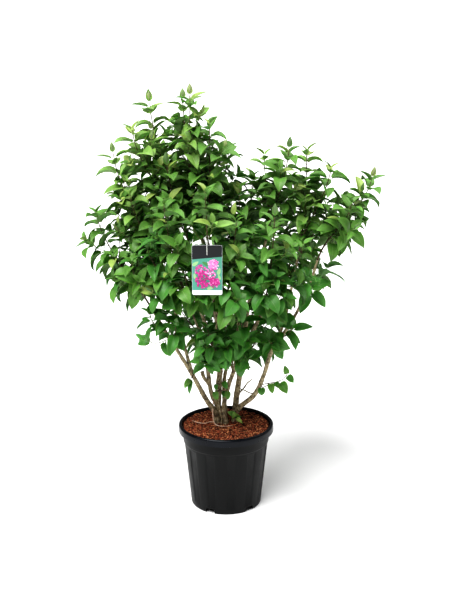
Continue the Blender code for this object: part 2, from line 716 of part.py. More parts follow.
def grow_shoots(grown, space, spare):
    """The side shoots that keep to their own mass's space and run into nothing."""
    for name, twigs in grown.items():
        chance = random.Random(f"{name} twigs")
        own_paths = [twig.path for twig, _ in twigs]
        others = [twig for other in grown if other != name for twig, _ in grown[other]]
        other_paths = [twig.path for twig in others if twig.leader]
        for twig in side_twigs(name, [twig for twig, _ in twigs], chance):
            thing = tube(f"{name}_twig", twig.path, twig.radii, TWIG_SIDES, spare)
            own = [twig_owner(name, number) for number in range(len(twigs))]
            inside = nearest(twig.path[-1], own_paths) < nearest(twig.path[-1], other_paths)
            if inside and space.mesh_is_clear(thing.data, own):
                space.add_mesh(thing.data, twig_owner(name, len(twigs)))
                twigs.append((twig, thing))
            else:
                bpy.data.objects.remove(thing)


def placed_leaf(point, along, facing, number, reach, space, own, chance):
    """A leaf at a node in the first of a few tries that keeps to its space and touches nothing, or None."""
    own_paths, other_paths = reach
    size = min(1.0, YOUNG_SIZE + SIZE_GAIN * number) * LEAF_LENGTH
    for _ in range(TRIES):
        way, above = leaf_frame(along, facing, min(1.0, number / NODES_TO_AGE), chance)
        length = size * chance.uniform(0.9, 1.08)
        curl = length * chance.uniform(0.10, 0.28)
        root = point - way * SUNK
        tip = root + way * length
        if nearest(tip, own_paths) > nearest(tip, other_paths) + OWN_SPACE or tip.z < LOWEST_LEAF:
            continue
        swollen = leaf_shape(root, way, above, length, curl)
        swell(swollen, SPARE)
        clear = space.is_clear(swollen, own)
        swollen.free()
        if clear:
            return leaf_shape(root, way, above, length, curl)
    return None


def grow_leaves(name, grown, space, spare):
    """Opposite pairs down each twig of one mass. A leaf that finds no room is left out."""
    chance = random.Random(f"{name} leaves")
    own_paths = [twig.path for twig, _ in grown[name]]
    other_paths = [twig.path for other in grown if other != name for twig, _ in grown[other]]
    leaves = []
    for order, (twig, _) in enumerate(grown[name]):
        for share, number, turn in leaf_nodes(twig, chance):
            point, along = point_along(twig.path, share)
            side = sideways(along, turn)
            own = [twig_owner(name, order)]
            pair = [placed_leaf(point, along, facing, number, (own_paths, other_paths), space, own, chance)
                    for facing in (side, -side)]
            for shape in filter(None, pair):
                mesh = bpy.data.meshes.new("leaf")
                shape.to_mesh(mesh)
                space.add(shape, name)
                shape.free()
                leaves.append(add_object("leaf", mesh, spare))
    return leaves


def fuse(name, pieces, parts, spare, material):
    """Joins the twigs and leaves of a mass into one solid."""
    group = new_collection(f"{name} pieces")
    stem, *others = pieces
    for piece in others:
        group.objects.link(piece)
        spare.objects.unlink(piece)
    spare.objects.unlink(stem)
    parts.objects.link(stem)
    stem.name = name
    join = stem.modifiers.new("Join", "BOOLEAN")
    join.operation = "UNION"
    join.operand_type = "COLLECTION"
    join.collection = group
    apply_modifiers(stem)
    for piece in others:
        bpy.data.objects.remove(piece)
    bpy.data.collections.remove(group)
    keep_largest_body(stem.data)
    stem.data.materials.clear()
    stem.data.materials.append(material)
    return stem


# ---------------------------------------------------------------- the tag

def tag_outline():
    """The tag's outline about the middle of its top edge, with rounded corners."""
    half = TAG_WIDTH / 2
    points = []
    for x, z, radius, start in ((half, 0, TAG_UPPER_CORNER, 0), (-half, 0, TAG_UPPER_CORNER, 90),
                                (-half, -TAG_HEIGHT, TAG_LOWER_CORNER, 180),
                                (half, -TAG_HEIGHT, TAG_LOWER_CORNER, 270)):
        inwards = Vector((-math.copysign(radius, x), -radius if z == 0 else radius))
        for turn in (0, 45, 90):
            angle = math.radians(start + turn)
            points.append(Vector((x, z)) + inwards + radius * Vector((math.cos(angle), math.sin(angle))))
    return points


def slot_outline():
    low, high = -SLOT_DROP - SLOT_HEIGHT, -SLOT_DROP
    return [Vector((x, z)) for x, z in ((-SLOT_HALF_WIDTH, low), (SLOT_HALF_WIDTH, low),
                                        (SLOT_HALF_WIDTH, high), (-SLOT_HALF_WIDTH, high))]


def loop_between(front, back):
    """Points round a flattened ring that passes through both places."""
    middle, reach = (front + back) / 2, (back - front) / 2
    angles = [2 * math.pi * number / STRAP_POINTS for number in range(STRAP_POINTS)]
    return [middle - reach * math.cos(angle) + Vector((STRAP_HALF_WIDTH * math.sin(angle), 0, 0))
            for angle in angles]


def strap_path(twig, bark):
    """A loop from the tag's top edge round the back of its twig, as tight as the twig lets it be."""
    steps = (point_along(twig.path, step / 400)[0] for step in range(401))
    point = next(place for place in steps if place.z > HANGS_FROM)
    front = Vector((point.x, point.y - TAG_AHEAD, TAG_TOP - STRAP_SINK))
    back = point + Vector((0, twig.radii[-1], 0))
    while True:
        loop = loop_between(front, back)
        edges = zip(loop, loop[1:] + loop[:1])
        places = [a.lerp(b, step / STRAP_PLACES) for a, b in edges for step in range(STRAP_PLACES)]
        if min(bark.find_nearest(place)[3] for place in places) > STRAP_RADIUS + GAP:
            return loop, front
        back.y += GAP / 3


def build_tag(parts, spare):
    """A printed plastic card with a strap loop through which its twig passes."""
    twig = leader_twigs(HANGS_ON)[0]
    bark = tube("tag_twig", twig.path, twig.radii, TWIG_SIDES, spare)
    shape = bmesh.new()
    shape.from_mesh(bark.data)
    loop, front = strap_path(twig, BVHTree.FromBMesh(shape))
    shape.free()
    bpy.data.objects.remove(bark)
    data = bpy.data.curves.new("tag", "CURVE")
    data.dimensions = "2D"
    data.fill_mode = "BOTH"
    data.extrude = TAG_THICKNESS / 2
    for outline in (tag_outline(), slot_outline()):
        spline = data.splines.new("POLY")
        spline.points.add(len(outline) - 1)
        for point, place in zip(spline.points, outline):
            point.co = (*place, 0, 1)
        spline.use_cyclic_u = True
    card = add_object("tag", data, parts)
    card.rotation_euler.x = math.pi / 2
    card.location = (front.x, front.y, TAG_TOP)
    card = to_mesh_object(card, parts)
    strap_data = bpy.data.curves.new("strap", "CURVE")
    strap_data.dimensions = "3D"
    strap_data.bevel_depth = STRAP_RADIUS
    strap_data.bevel_resolution = 0
    spline = strap_data.splines.new("POLY")
    spline.points.add(len(loop) - 1)
    for point, place in zip(spline.points, loop):
        point.co = (*place, 1)
    spline.use_cyclic_u = True
    strap = to_mesh_object(add_object("strap", strap_data, spare), spare)
    join = card.modifiers.new("Strap", "BOOLEAN")
    join.operation = "UNION"
    join.object = strap
    apply_modifiers(card)
    bpy.data.objects.remove(strap)
    card.data.materials.append(finish("printed plastic card", (0.55, 0.12, 0.33), 0.35))
    return card, front


def tag_room(front):
    """The room in front of the tag that leaves keep out of."""
    shape = bmesh.new()
    bmesh.ops.create_cube(shape, size=1)
    bmesh.ops.scale(shape, vec=(TAG_WIDTH, TAG_CLEAR, TAG_HEIGHT), verts=shape.verts)
    middle = (front.x, front.y - TAG_CLEAR / 2 - TAG_THICKNESS, TAG_TOP - TAG_HEIGHT / 2)
    bmesh.ops.translate(shape, vec=middle, verts=shape.verts)
    return shape


# ---------------------------------------------------------------- the whole plant

def main():
    clear_scene()
    parts = new_collection("potted lilac")
    cutters = new_collection("potted lilac cutters")
    new_collection(GUIDES)
    spare = new_collection("potted lilac pieces")
    bark = finish("lilac bark", (0.23, 0.17, 0.11), 0.85)
    leaf_green = finish("lilac leaf", (0.07, 0.20, 0.03), 0.5)

    limbs = build_limbs(parts, spare, bark)
    root = build_surface_root(parts, bark)
    tag, tag_place = build_tag(parts, spare)

    space = Space()
    for name, thing in [*limbs.items(), ("surface_root", root), ("tag", tag)]:
        space.add_mesh(thing.data, name)
    grown = grow_leaders(space, spare)
    room = tag_room(tag_place)
    space.add(room, "tag room")
    room.free()
    grow_shoots(grown, space, spare)
    for name in MASSES:
        leaves = grow_leaves(name, grown, space, spare)
        fuse(name, [thing for _, thing in grown[name]] + leaves, parts, spare, leaf_green)
    bpy.data.collections.remove(spare)
    build_substrate(parts)
    build_pot(parts, cutters)


main()
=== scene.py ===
"""The looks of a potted lilac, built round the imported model.

Metres, +Z up, and the plant's front faces -Y. Stems and boughs get bark with its relief. The masses
of foliage grow again here by the rule that made the solids, carried on to finer twigs and life-size
leaves.
"""

import itertools
import json
import math
import random
from collections import namedtuple

import bmesh
import bpy
from mathutils import Matrix, Vector, noise
from mathutils.bvhtree import BVHTree
from mathutils.kdtree import KDTree

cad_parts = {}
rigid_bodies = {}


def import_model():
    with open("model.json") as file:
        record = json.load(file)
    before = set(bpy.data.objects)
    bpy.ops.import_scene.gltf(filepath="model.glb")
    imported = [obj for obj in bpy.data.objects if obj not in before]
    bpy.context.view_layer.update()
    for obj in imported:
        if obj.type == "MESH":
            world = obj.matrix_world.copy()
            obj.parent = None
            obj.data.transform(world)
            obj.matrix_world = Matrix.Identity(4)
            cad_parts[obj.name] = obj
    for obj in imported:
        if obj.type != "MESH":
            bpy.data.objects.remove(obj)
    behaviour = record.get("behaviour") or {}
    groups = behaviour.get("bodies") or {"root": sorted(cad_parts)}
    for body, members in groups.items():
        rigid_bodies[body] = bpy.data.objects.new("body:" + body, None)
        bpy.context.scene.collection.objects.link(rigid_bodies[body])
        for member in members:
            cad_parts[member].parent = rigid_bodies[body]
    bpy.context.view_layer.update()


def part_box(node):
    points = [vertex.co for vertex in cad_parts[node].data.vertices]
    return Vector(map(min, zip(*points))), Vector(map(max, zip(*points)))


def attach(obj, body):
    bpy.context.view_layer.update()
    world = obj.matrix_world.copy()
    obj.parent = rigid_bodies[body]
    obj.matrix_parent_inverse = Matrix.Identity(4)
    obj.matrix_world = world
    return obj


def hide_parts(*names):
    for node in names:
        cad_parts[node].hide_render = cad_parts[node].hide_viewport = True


for thing in list(bpy.data.objects):
    bpy.data.objects.remove(thing)
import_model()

UP = Vector((0, 0, 1))
TAPER = 0.8  # the power of a path's share by which its radius falls

# ---------------------------------------------------------------- sizes, as in the solids

POT_WALL = 0.004
POT_FOOT_RADIUS = 0.1335
POT_SHOULDER = (0.1585, 0.272)
FLOOR_RISE = 0.018
PAD_RADIUS = 0.098
FLUTES = 12
FLUTE_PHASE = math.radians(-22)
FLUTE_FOOT, FLUTE_TOP = 0.024, 0.242
FLUTE_DEPTH = 0.0026
NOTCH_WIDTH, NOTCH_HEIGHT = 0.035, 0.0175
NOTCH_TURNS = (-26, 41, 99, 157, 215, 273)  # degrees from the front towards +X
SOIL_TOP = 0.306
SOIL_LEVEL_RADIUS = 0.105

TAG_WIDTH, TAG_HEIGHT, TAG_THICKNESS = 0.100, 0.168, 0.001
TAG_TOP = 1.072
HANGS_ON, HANGS_FROM = "foliage_front", 1.096

LEADER_LEAN = 0.35
LEADER_HANDLE = 0.32
LEADER_STEP = 0.030
SQUARE_START = 0.008
FORK_DISTANCE = 0.036
SHOOT_ANGLE = math.radians(42)
SHOOT_RISE = 0.5
SHOOT_BEND = 0.55
SPIRAL = math.radians(137)
LEADER_RADII = (0.0040, 0.0013)
SHOOT_RADII = (0.0016, 0.0009)
FORK_SLIMMER = 0.18  # the share by which each further leader of a mass starts thinner
SPRIG_RADIUS = 0.0018

# Finer than in the solids: life-size leaves, near pairs and many more side shoots.
LEAF_LENGTH = 0.077
INTERNODE, SHOOT_INTERNODE = 0.039, 0.032
SHOOT_SPACING = 0.030
SHOOT_SPREAD = (0.8, 1.25)  # the least and most of that spacing
FIRST_SHOOT = 0.04
SHOOT_REACH = (0.6, 1.05)  # the least and most of a mass's own reach
REACH_AT_FOOT, REACH_LOSS = 1.15, 0.55  # shoots are longest low on a leader
OWN_SPACE = 0.045
TRIES = 8
SHOOT_TRIES = 4
SHOOT_SLEEVE, LEADER_SLEEVE = 0.0014, 0.0035  # radii of the sleeves that tell what touches what
HEM, HEM_SLOPE = 0.52, 0.34  # the crown's lower edge, which rises towards the front
HEM_RAGGED, HEM_RAGS = 0.075, 13.0  # how uneven it is, and how finely
HEM_LEFT, HEM_RIGHT = -0.14, 0.20  # beyond these it also rises towards each side, up to a limit
HEM_SIDE_SLOPE, HEM_SIDE_MOST = 1.0, 0.13
SPRIG_REACH = 1.15  # from a leaf stalk's root to the blade's tip, by the blade's length
BARE_TIP = 0.125  # the last stretch of a leader has leaves but no shoots
LOW_TIP, LOW_BARE_TIP = 1.0, 0.080  # below this height less of a leader is bare of shoots

# Room for the tag: nothing grows in a box just ahead of it, and no leaf hides it from ahead and above.
TAG_CLEAR, TAG_BEHIND = 0.120, 0.004
TAG_MARGIN, TAG_HEADROOM = 0.006, 0.010
SIGHT_MARGIN, SIGHT_HEADROOM, SIGHT_SLOPE = 0.008, 0.012, 0.2

Limb = namedtuple("Limb", "points radii parent")
Mass = namedtuple("Mass", "limb at reach leaders")
Twig = namedtuple("Twig", "path radii leader")

# Points here and in the tables below are in millimetres, radii and reaches in metres.
LIMBS = {
    "stem_left": Limb(((-34, 32, 306), (-31, 40, 370), (-27, 50, 460), (-24, 50, 560), (-50, 30, 850),
        (-106, 0, 1120)), (0.0145, 0.0060), None),
    "stem_centre": Limb(((-2, 16, 306), (-8, 18, 380), (12, 10, 470), (38, -8, 570), (50, -20, 820)),
        (0.0115, 0.0052), None),
    "stem_centre_back": Limb(((-4, 78, 306), (-8, 85, 450), (8, 105, 540), (12, 175, 670),
        (20, 240, 780)), (0.0100, 0.0046), None),
    "stem_right": Limb(((33, 48, 306), (40, 34, 410), (58, 20, 540), (88, 0, 800), (146, 0, 1020)),
        (0.0140, 0.0058), None),
    "bough_left_outer": Limb(((-34, 34, 335), (-75, 2, 410), (-128, -38, 530), (-185, -78, 645),
        (-222, -100, 720), (-268, -95, 800)), (0.0115, 0.0052), "stem_left"),
    "bough_left_inner": Limb(((-124, -35, 520), (-150, -46, 630), (-170, -46, 710), (-205, -20, 860)),
        (0.0080, 0.0046), "bough_left_outer"),
    "bough_left_upright": Limb(((-31, 40, 365), (-57, 30, 430), (-70, 22, 540), (-82, 20, 720),
        (-130, 30, 980)), (0.0100, 0.0048), "stem_left"),
    "bough_left_front": Limb(((-70, 22, 550), (-82, -60, 660), (-110, -140, 770)), (0.0065, 0.0042),
        "bough_left_upright"),
    "bough_left_back": Limb(((-25, 50, 550), (-70, 100, 660), (-170, 160, 880)), (0.0070, 0.0043),
        "stem_left"),
    "bough_front": Limb(((38, -8, 570), (24, -80, 660), (-10, -160, 760)), (0.0065, 0.0042),
        "stem_centre"),
    "bough_peak_back": Limb(((12, 175, 670), (-16, 196, 780), (-60, 214, 940)), (0.0055, 0.0042),
        "stem_centre_back"),
    "bough_right_front": Limb(((66, 14, 600), (92, -70, 690), (118, -140, 770)), (0.0065, 0.0042),
        "stem_right"),
    "bough_right_back": Limb(((58, 20, 540), (100, 90, 640), (190, 160, 800)), (0.0070, 0.0043),
        "stem_right"),
    "bough_right_outer": Limb(((34, 45, 335), (54, 16, 375), (108, -26, 440), (142, -46, 525),
        (170, -58, 620), (240, -52, 730), (298, -30, 840), (334, -8, 950)), (0.0115, 0.0052),
        "stem_right"),
    "bough_right_inner": Limb(((186, -58, 648), (222, -30, 760), (266, 6, 970)), (0.0070, 0.0044),
        "bough_right_outer"),
}

MASSES = {
    "foliage_left_peak": Mass("stem_left", 1.0, 0.13, ((-121, -30, 1535), (-150, 60, 1515),
        (-80, 90, 1380))),
    "foliage_peak_right": Mass("stem_left", 0.80, 0.14, ((-52, -80, 1440), (12, 20, 1345))),
    "foliage_left_shoulder": Mass("bough_left_upright", 1.0, 0.14, ((-268, 60, 1505), (-320, -60, 1420),
        (-200, -90, 1300))),
    "foliage_left_flank": Mass("bough_left_inner", 1.0, 0.14, ((-401, 40, 1330), (-390, 140, 1190),
        (-330, -90, 1200))),
    "foliage_left_low": Mass("bough_left_outer", 1.0, 0.13, ((-452, -70, 1130), (-375, 30, 960),
        (-320, -190, 980))),
    "foliage_left_front": Mass("bough_left_front", 1.0, 0.14, ((-200, -260, 1190), (-265, -220, 1050),
        (-130, -290, 980))),
    "foliage_left_back": Mass("bough_left_back", 1.0, 0.15, ((-250, 300, 1320), (-355, 280, 1140),
        (-270, 240, 980))),
    "foliage_peak_back": Mass("bough_peak_back", 1.0, 0.15, ((-130, 220, 1360), (-40, 330, 1220))),
    "foliage_front": Mass("bough_front", 1.0, 0.14, ((-60, -330, 1240), (40, -300, 1140),
        (20, -310, 950))),
    "foliage_saddle": Mass("stem_centre", 1.0, 0.14, ((50, -60, 1210), (100, 90, 1240),
        (-10, 90, 1120))),
    "foliage_back": Mass("stem_centre_back", 1.0, 0.15, ((20, 350, 1130), (145, 340, 1110),
        (50, 330, 930))),
    "foliage_right_peak": Mass("stem_right", 1.0, 0.13, ((139, 50, 1320), (223, -45, 1355))),
    "foliage_right_shoulder": Mass("bough_right_inner", 1.0, 0.13, ((293, 60, 1335), (373, -20, 1283))),
    "foliage_right_reach": Mass("bough_right_outer", 1.0, 0.13, ((525, 20, 1245), (440, -100, 1170),
        (430, 120, 1100))),
    "foliage_right_low": Mass("bough_right_outer", 0.80, 0.13, ((305, -140, 880), (320, 80, 920))),
    "foliage_right_front": Mass("bough_right_front", 1.0, 0.14, ((165, -310, 1160), (265, -230, 1050),
        (180, -280, 930))),
    "foliage_right_back": Mass("bough_right_back", 1.0, 0.15, ((255, 290, 1210), (385, 250, 1110),
        (290, 230, 940))),
    "foliage_skirt_left": Mass("bough_left_outer", 0.66, 0.13, ((-265, -180, 800), (-170, -220, 760))),
    "foliage_skirt_front": Mass("stem_centre", 0.42, 0.13, ((60, -230, 800), (-60, -220, 750),
        (0, -130, 680))),
    "foliage_skirt_right": Mass("bough_right_outer", 0.56, 0.13, ((235, -180, 750), (155, -190, 700))),
    "foliage_skirt_back": Mass("stem_right", 0.24, 0.13, ((60, 270, 720), (165, 230, 710))),
    "foliage_skirt_back_left": Mass("stem_centre_back", 0.42, 0.13, ((-190, 210, 740),
        (-70, 280, 750))),
    "sprig_right": Mass("bough_right_outer", 0.27, 0.06, ((226, -70, 533), (133, -48, 479))),
    "sprig_left": Mass("bough_left_outer", 0.40, 0.06, ((-126, -62, 518), (-104, -30, 538))),
    "sprig_centre": Mass("stem_left", 0.15, 0.06, ((-11, -30, 497), (-36, -30, 485), (-41, -30, 458),
        (7, -30, 459))),
    "sprig_foot": Mass("stem_right", 0.040, 0.05, ((36, 0, 341), (38, -6, 337))),
}

# The sprigs' own leaves: which twig, how far along it, the leaf's tip, its breadth and its tint.
SPRIG_LEAVES = {
    "sprig_right": ((1, 1.00, (134, -60, 446), 1.35, "deep"), (0, 0.36, (174, -75, 459), 1.25, "mid"),
        (0, 0.52, (196, -80, 482), 1.25, "deep"), (0, 0.66, (225, -95, 470), 1.15, "mid"),
        (0, 1.00, (216, -70, 570), 1.20, "mid"), (0, 0.98, (250, -85, 506), 1.25, "deep")),
    "sprig_left": ((0, 1.00, (-150, -78, 483), 0.95, "mid"), (0, 0.85, (-134, -72, 458), 0.45, "deep"),
        (1, 1.00, (-122, -24, 514), 0.90, "deep")),
    "sprig_centre": ((1, 1.00, (-35, -42, 460), 1.20, "deep"), (0, 1.00, (5, -45, 468), 1.00, "deep"),
        (2, 1.00, (-32, -42, 421), 1.00, "mid"), (3, 0.60, (-8, -40, 428), 0.90, "deep"),
        (3, 1.00, (8, -42, 425), 1.30, "mid")),
    "sprig_foot": ((0, 1.00, (3, -12, 366), 0.90, "mid"), (0, 0.90, (26, -20, 370), 1.10, "light"),
        (1, 1.00, (66, -28, 321), 0.75, "young"), (0, 0.80, (62, -12, 343), 0.70, "deep")),
}

# Each thin stem's points, first and last radius.
THIN_STEMS = (
    (((-58, 30, 444), (-72, 24, 472), (-84, 20, 492), (-90, 20, 514)), 0.0048, 0.0076),
    (((46, 30, 418), (45, 45, 455), (41, 50, 502), (36, 40, 560), (40, -4, 640)), 0.0026, 0.0020),
    (((50, 32, 424), (69, 24, 448), (81, 20, 468), (99, 20, 483)), 0.0034, 0.0020),
    (((52, 24, 444), (74, 4, 443), (85, 0, 438), (98, -10, 438), (116, -30, 452)), 0.0020, 0.0022),
    (((-48, 26, 392), (-51, 9, 368), (-49, 0, 338), (-45, -6, 318), (-36, -10, 310), (-20, -18, 309),
        (0, -20, 309), (24, -12, 309)), 0.0024, 0.0017),
    (((-28, 28, 392), (-25, 18, 372), (-21, 9, 350), (-16, 5, 334), (-18, 2, 306)), 0.0030, 0.0034),
    (((-56, 18, 486), (-36, 2, 477), (-16, 0, 478), (8, 2, 489), (26, 0, 503)), 0.0013, 0.0015),
)
SURFACE_ROOT = ((-50, 26), (-66, 24), (-80, 12), (-104, 18), (-130, 36))


# ---------------------------------------------------------------- tools

def linear(hex_colour):
    """A linear RGBA colour from an sRGB hex value."""
    parts = [int(hex_colour[place:place + 2], 16) / 255 for place in (1, 3, 5)]
    return (*[c / 12.92 if c <= 0.04045 else ((c + 0.055) / 1.055)**2.4 for c in parts], 1)


def add_node(tree, kind, inputs=(), **settings):
    """Adds a node, sets it and links or fills its inputs."""
    made = tree.nodes.new(kind)
    for key, value in settings.items():
        setattr(made, key, value)
    for key, value in dict(inputs).items():
        if isinstance(value, bpy.types.NodeSocket):
            tree.links.new(value, made.inputs[key])
        else:
            made.inputs[key].default_value = value
    return made


def linked(name, data):
    """A new object in the scene."""
    made = bpy.data.objects.new(name, data)
    bpy.context.scene.collection.objects.link(made)
    return made


def new_material(name, **values):
    """A Principled material with these values on its shader, and its node tree."""
    made = bpy.data.materials.new(name)
    made.use_nodes = True
    shader = made.node_tree.nodes["Principled BSDF"]
    for key, value in values.items():
        shader.inputs[key.replace("_", " ").title().replace("Ior", "IOR")].default_value = value
    return made, made.node_tree, shader


def colour_ramp(tree, factor, stops):
    """A colour ramp through (place, hex colour) stops."""
    ramp = add_node(tree, "ShaderNodeValToRGB", {"Fac": factor})
    ramp.color_ramp.elements[0].position = stops[0][0]
    ramp.color_ramp.elements[0].color = linear(stops[0][1])
    ramp.color_ramp.elements[1].position = stops[-1][0]
    ramp.color_ramp.elements[1].color = linear(stops[-1][1])
    for place, colour in stops[1:-1]:
        ramp.color_ramp.elements.new(place).color = linear(colour)
    return ramp.outputs["Color"]


def bump(tree, shader, height, distance, strength=1.0):
    inputs = {"Height": height, "Distance": distance, "Strength": strength}
    tree.links.new(add_node(tree, "ShaderNodeBump", inputs).outputs["Normal"], shader.inputs["Normal"])


def object_place(tree):
    return add_node(tree, "ShaderNodeTexCoord").outputs["Object"]


def mottle(tree, place, scale, detail=3.0, roughness=0.5):
    """Soft noise from 0 to 1."""
    settings = {"Vector": place, "Scale": scale, "Detail": detail, "Roughness": roughness}
    return add_node(tree, "ShaderNodeTexNoise", settings).outputs["Fac"]


def map_range(tree, value, low, high, onto_low, onto_high):
    spans = {"From Min": low, "From Max": high, "To Min": onto_low, "To Max": onto_high}
    return add_node(tree, "ShaderNodeMapRange", {"Value": value, **spans}).outputs["Result"]


def maths(tree, operation, *parts):
    return add_node(tree, "ShaderNodeMath", dict(enumerate(parts)), operation=operation).outputs[0]


def blended(tree, share, first, second, **settings):
    """A mix of two colours."""
    inputs = {0: share, 6: first, 7: second}
    return add_node(tree, "ShaderNodeMix", inputs, data_type="RGBA", **settings).outputs[2]


def uneven(tree, colour, scale, detail, dark, pale):
    """A colour that noise makes darker and paler by these factors."""
    tone = map_range(tree, mottle(tree, object_place(tree), scale, detail), 0.3, 0.7, dark, pale)
    inputs = {0: linear(colour)[:3], "Scale": tone}
    return add_node(tree, "ShaderNodeVectorMath", inputs, operation="SCALE").outputs[0]


def paint(tree, shader, colour):
    tree.links.new(colour, shader.inputs["Base Color"])


def mottled_material(name, scale, stops, relief=0.0, detail=3.0, **values):
    """A material whose colour and relief follow one noise."""
    made, tree, shader = new_material(name, **values)
    speck = mottle(tree, object_place(tree), scale, detail)
    paint(tree, shader, colour_ramp(tree, speck, stops))
    if relief:
        bump(tree, shader, speck, relief)
    return made


def to_mesh(name, shape, smooth=True):
    """A mesh from a bmesh, which is freed."""
    mesh = bpy.data.meshes.new(name)
    for face in shape.faces:
        face.smooth = smooth
    shape.to_mesh(mesh)
    shape.free()
    return mesh


def add_piece(name, shape, materials, replaced=(), smooth=True):
    """A finished piece of the plant or its pot, from a bmesh."""
    piece = linked(name, to_mesh(name, shape, smooth))
    for material in materials:
        piece.data.materials.append(material)
    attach(piece, "root")
    if replaced:
        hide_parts(*replaced)
    return piece


def merge_in(shape, mesh):
    """Adds a mesh to a bmesh and removes it."""
    shape.from_mesh(mesh)
    bpy.data.meshes.remove(mesh)


def block(size):
    """A box about the origin."""
    shape = bmesh.new()
    bmesh.ops.create_cube(shape, size=1)
    bmesh.ops.scale(shape, vec=size, verts=shape.verts)
    return shape


def edges_along(shape, axis):
    """A box's edges that run along one axis."""
    return [edge for edge in shape.edges
            if abs((edge.verts[0].co - edge.verts[1].co)[axis]) > edge.calc_length() / 2]


def round_edges(shape, edges, offset, segments):
    bmesh.ops.bevel(shape, geom=edges, offset=offset, segments=segments, affect="EDGES", profile=0.5,
                    material=-1)


def turned(profile, steps, first=0.0, merge=0.00002):
    """A profile of radii and heights, spun once round the upright axis from this angle."""
    shape = bmesh.new()
    verts = [shape.verts.new((radius, 0, height)) for radius, height in profile]
    edges = [shape.edges.new(pair) for pair in zip(verts, verts[1:])]
    bmesh.ops.rotate(shape, verts=verts, cent=(0, 0, 0), matrix=Matrix.Rotation(first, 3, "Z"))
    bmesh.ops.spin(shape, geom=[*verts, *edges], cent=(0, 0, 0), axis=(0, 0, 1), angle=2 * math.pi,
                   steps=steps, use_merge=True)
    bmesh.ops.remove_doubles(shape, verts=shape.verts, dist=merge)
    bmesh.ops.recalc_face_normals(shape, faces=shape.faces)
    return shape


def evaluated_mesh(thing):
    """A new mesh of an object with its modifiers or its curve's shape."""
    bpy.context.view_layer.update()
    graph = bpy.context.evaluated_depsgraph_get()
    return bpy.data.meshes.new_from_object(thing.evaluated_get(graph))


def cut(piece, shape):
    """Cuts a closed shape out of a finished piece."""
    cutter = linked("cutter", to_mesh("cutter", shape, smooth=False))
    modifier = piece.modifiers.new("Cut", "BOOLEAN")
    modifier.operation = "DIFFERENCE"
    modifier.object = cutter
    mesh = evaluated_mesh(piece)
    piece.modifiers.clear()
    piece.data = mesh
    bpy.data.objects.remove(cutter)


# ---------------------------------------------------------------- paths and tubes

def metres(points):
    """The points of a table, from whole millimetres."""
    return [Vector([part / 1000 for part in point]) for point in points]


def smooth_path(points, steps):
    """Points along a Catmull-Rom curve through the given ones, with this many steps between two."""
    points = [Vector(p) for p in points]
    ends = [2 * points[0] - points[1], *points, 2 * points[-1] - points[-2]]
    path = []
    for a, b, c, d in zip(ends, ends[1:], ends[2:], ends[3:]):
        for step in range(steps):
            t = step / steps
            path.append(0.5 * (2 * b + (c - a) * t + (2 * a - 5 * b + 4 * c - d) * t**2
                               + (3 * b - a - 3 * c + d) * t**3))
    return path + [points[-1]]


def even_path(path, step):
    """Places along a path at about this distance from each other."""
    count = max(3, round(path_length(path) / step))
    return [point_along(path, number / count)[0] for number in range(count + 1)]


def taper(radii, count):
    """This many radii from the first to the last, which thin out most near the tip."""
    first, last = radii
    return [first + (last - first) * (number / (count - 1))**TAPER for number in range(count)]


def path_length(path):
    return sum((b - a).length for a, b in zip(path, path[1:]))


def point_along(path, share):
    """The place and the direction at this share of a path's length."""
    left = share * path_length(path)
    for a, b in zip(path, path[1:]):
        length = (b - a).length
        if left <= length:
            return a.lerp(b, left / length), (b - a).normalized()
        left -= length
    return path[-1].copy(), (path[-1] - path[-2]).normalized()


def sideways(along, turn):
    """A direction square to another, turned about it."""
    side = along.orthogonal().normalized()
    side.rotate(Matrix.Rotation(turn, 3, along))
    return side


def section(sides):
    """The ring of unit radius that tubes with this many sides are swept from."""
    name = f"section_{sides}"
    if name not in bpy.data.objects:
        data = bpy.data.curves.new(name, "CURVE")
        spline = data.splines.new("POLY")
        spline.points.add(sides - 1)
        for number, point in enumerate(spline.points):
            angle = 2 * math.pi * number / sides
            point.co = (math.cos(angle), math.sin(angle), 0, 1)
        spline.use_cyclic_u = True
        bpy.data.objects.new(name, data)
    return bpy.data.objects[name]


def tubes(name, twigs, sides):
    """One mesh of closed tubes along paths, each with a radius at every point."""
    data = bpy.data.curves.new(name, "CURVE")
    data.dimensions = "3D"
    data.bevel_mode = "OBJECT"
    data.bevel_object = section(sides)
    data.use_fill_caps = True
    for path, radii in twigs:
        spline = data.splines.new("POLY")
        spline.points.add(len(path) - 1)
        for point, place, radius in zip(spline.points, path, radii):
            point.co = (*place, 1)
            point.radius = radius
    thing = linked(name, data)
    mesh = evaluated_mesh(thing)
    bpy.data.objects.remove(thing)
    bpy.data.curves.remove(data)
    shape = bmesh.new()
    merge_in(shape, mesh)
    bmesh.ops.remove_doubles(shape, verts=shape.verts, dist=0.000001)
    bmesh.ops.recalc_face_normals(shape, faces=shape.faces)
    return shape


# ---------------------------------------------------------------- bark

LIMB_STEP = 0.006  # between the rings of a limb
BARK_SIDES = 18
NODE_SPACING = 0.085  # pairs of old leaf scars
SCAR_SWELL, SCAR_REACH = 0.10, 0.006
STEM_FLARE, BOUGH_FLARE, FLARE_REACH = 0.35, 0.30, 0.018
SLIMMER = 0.90  # the ridges stand out from a slightly slimmer limb
BURIED = 0.010  # the length by which a main stem runs on down into the mulch
RIDGES, RIDGE_SHARE = 260, 0.6  # how many to the metre and how strong
KNOTS, KNOT_RISE, KNOT_SHARE = 75, 55, 0.9


def limb_path(name):
    path = smooth_path(metres(LIMBS[name].points), 12)
    if LIMBS[name].parent is None:
        path.insert(0, path[0] - BURIED * UP)
    return path


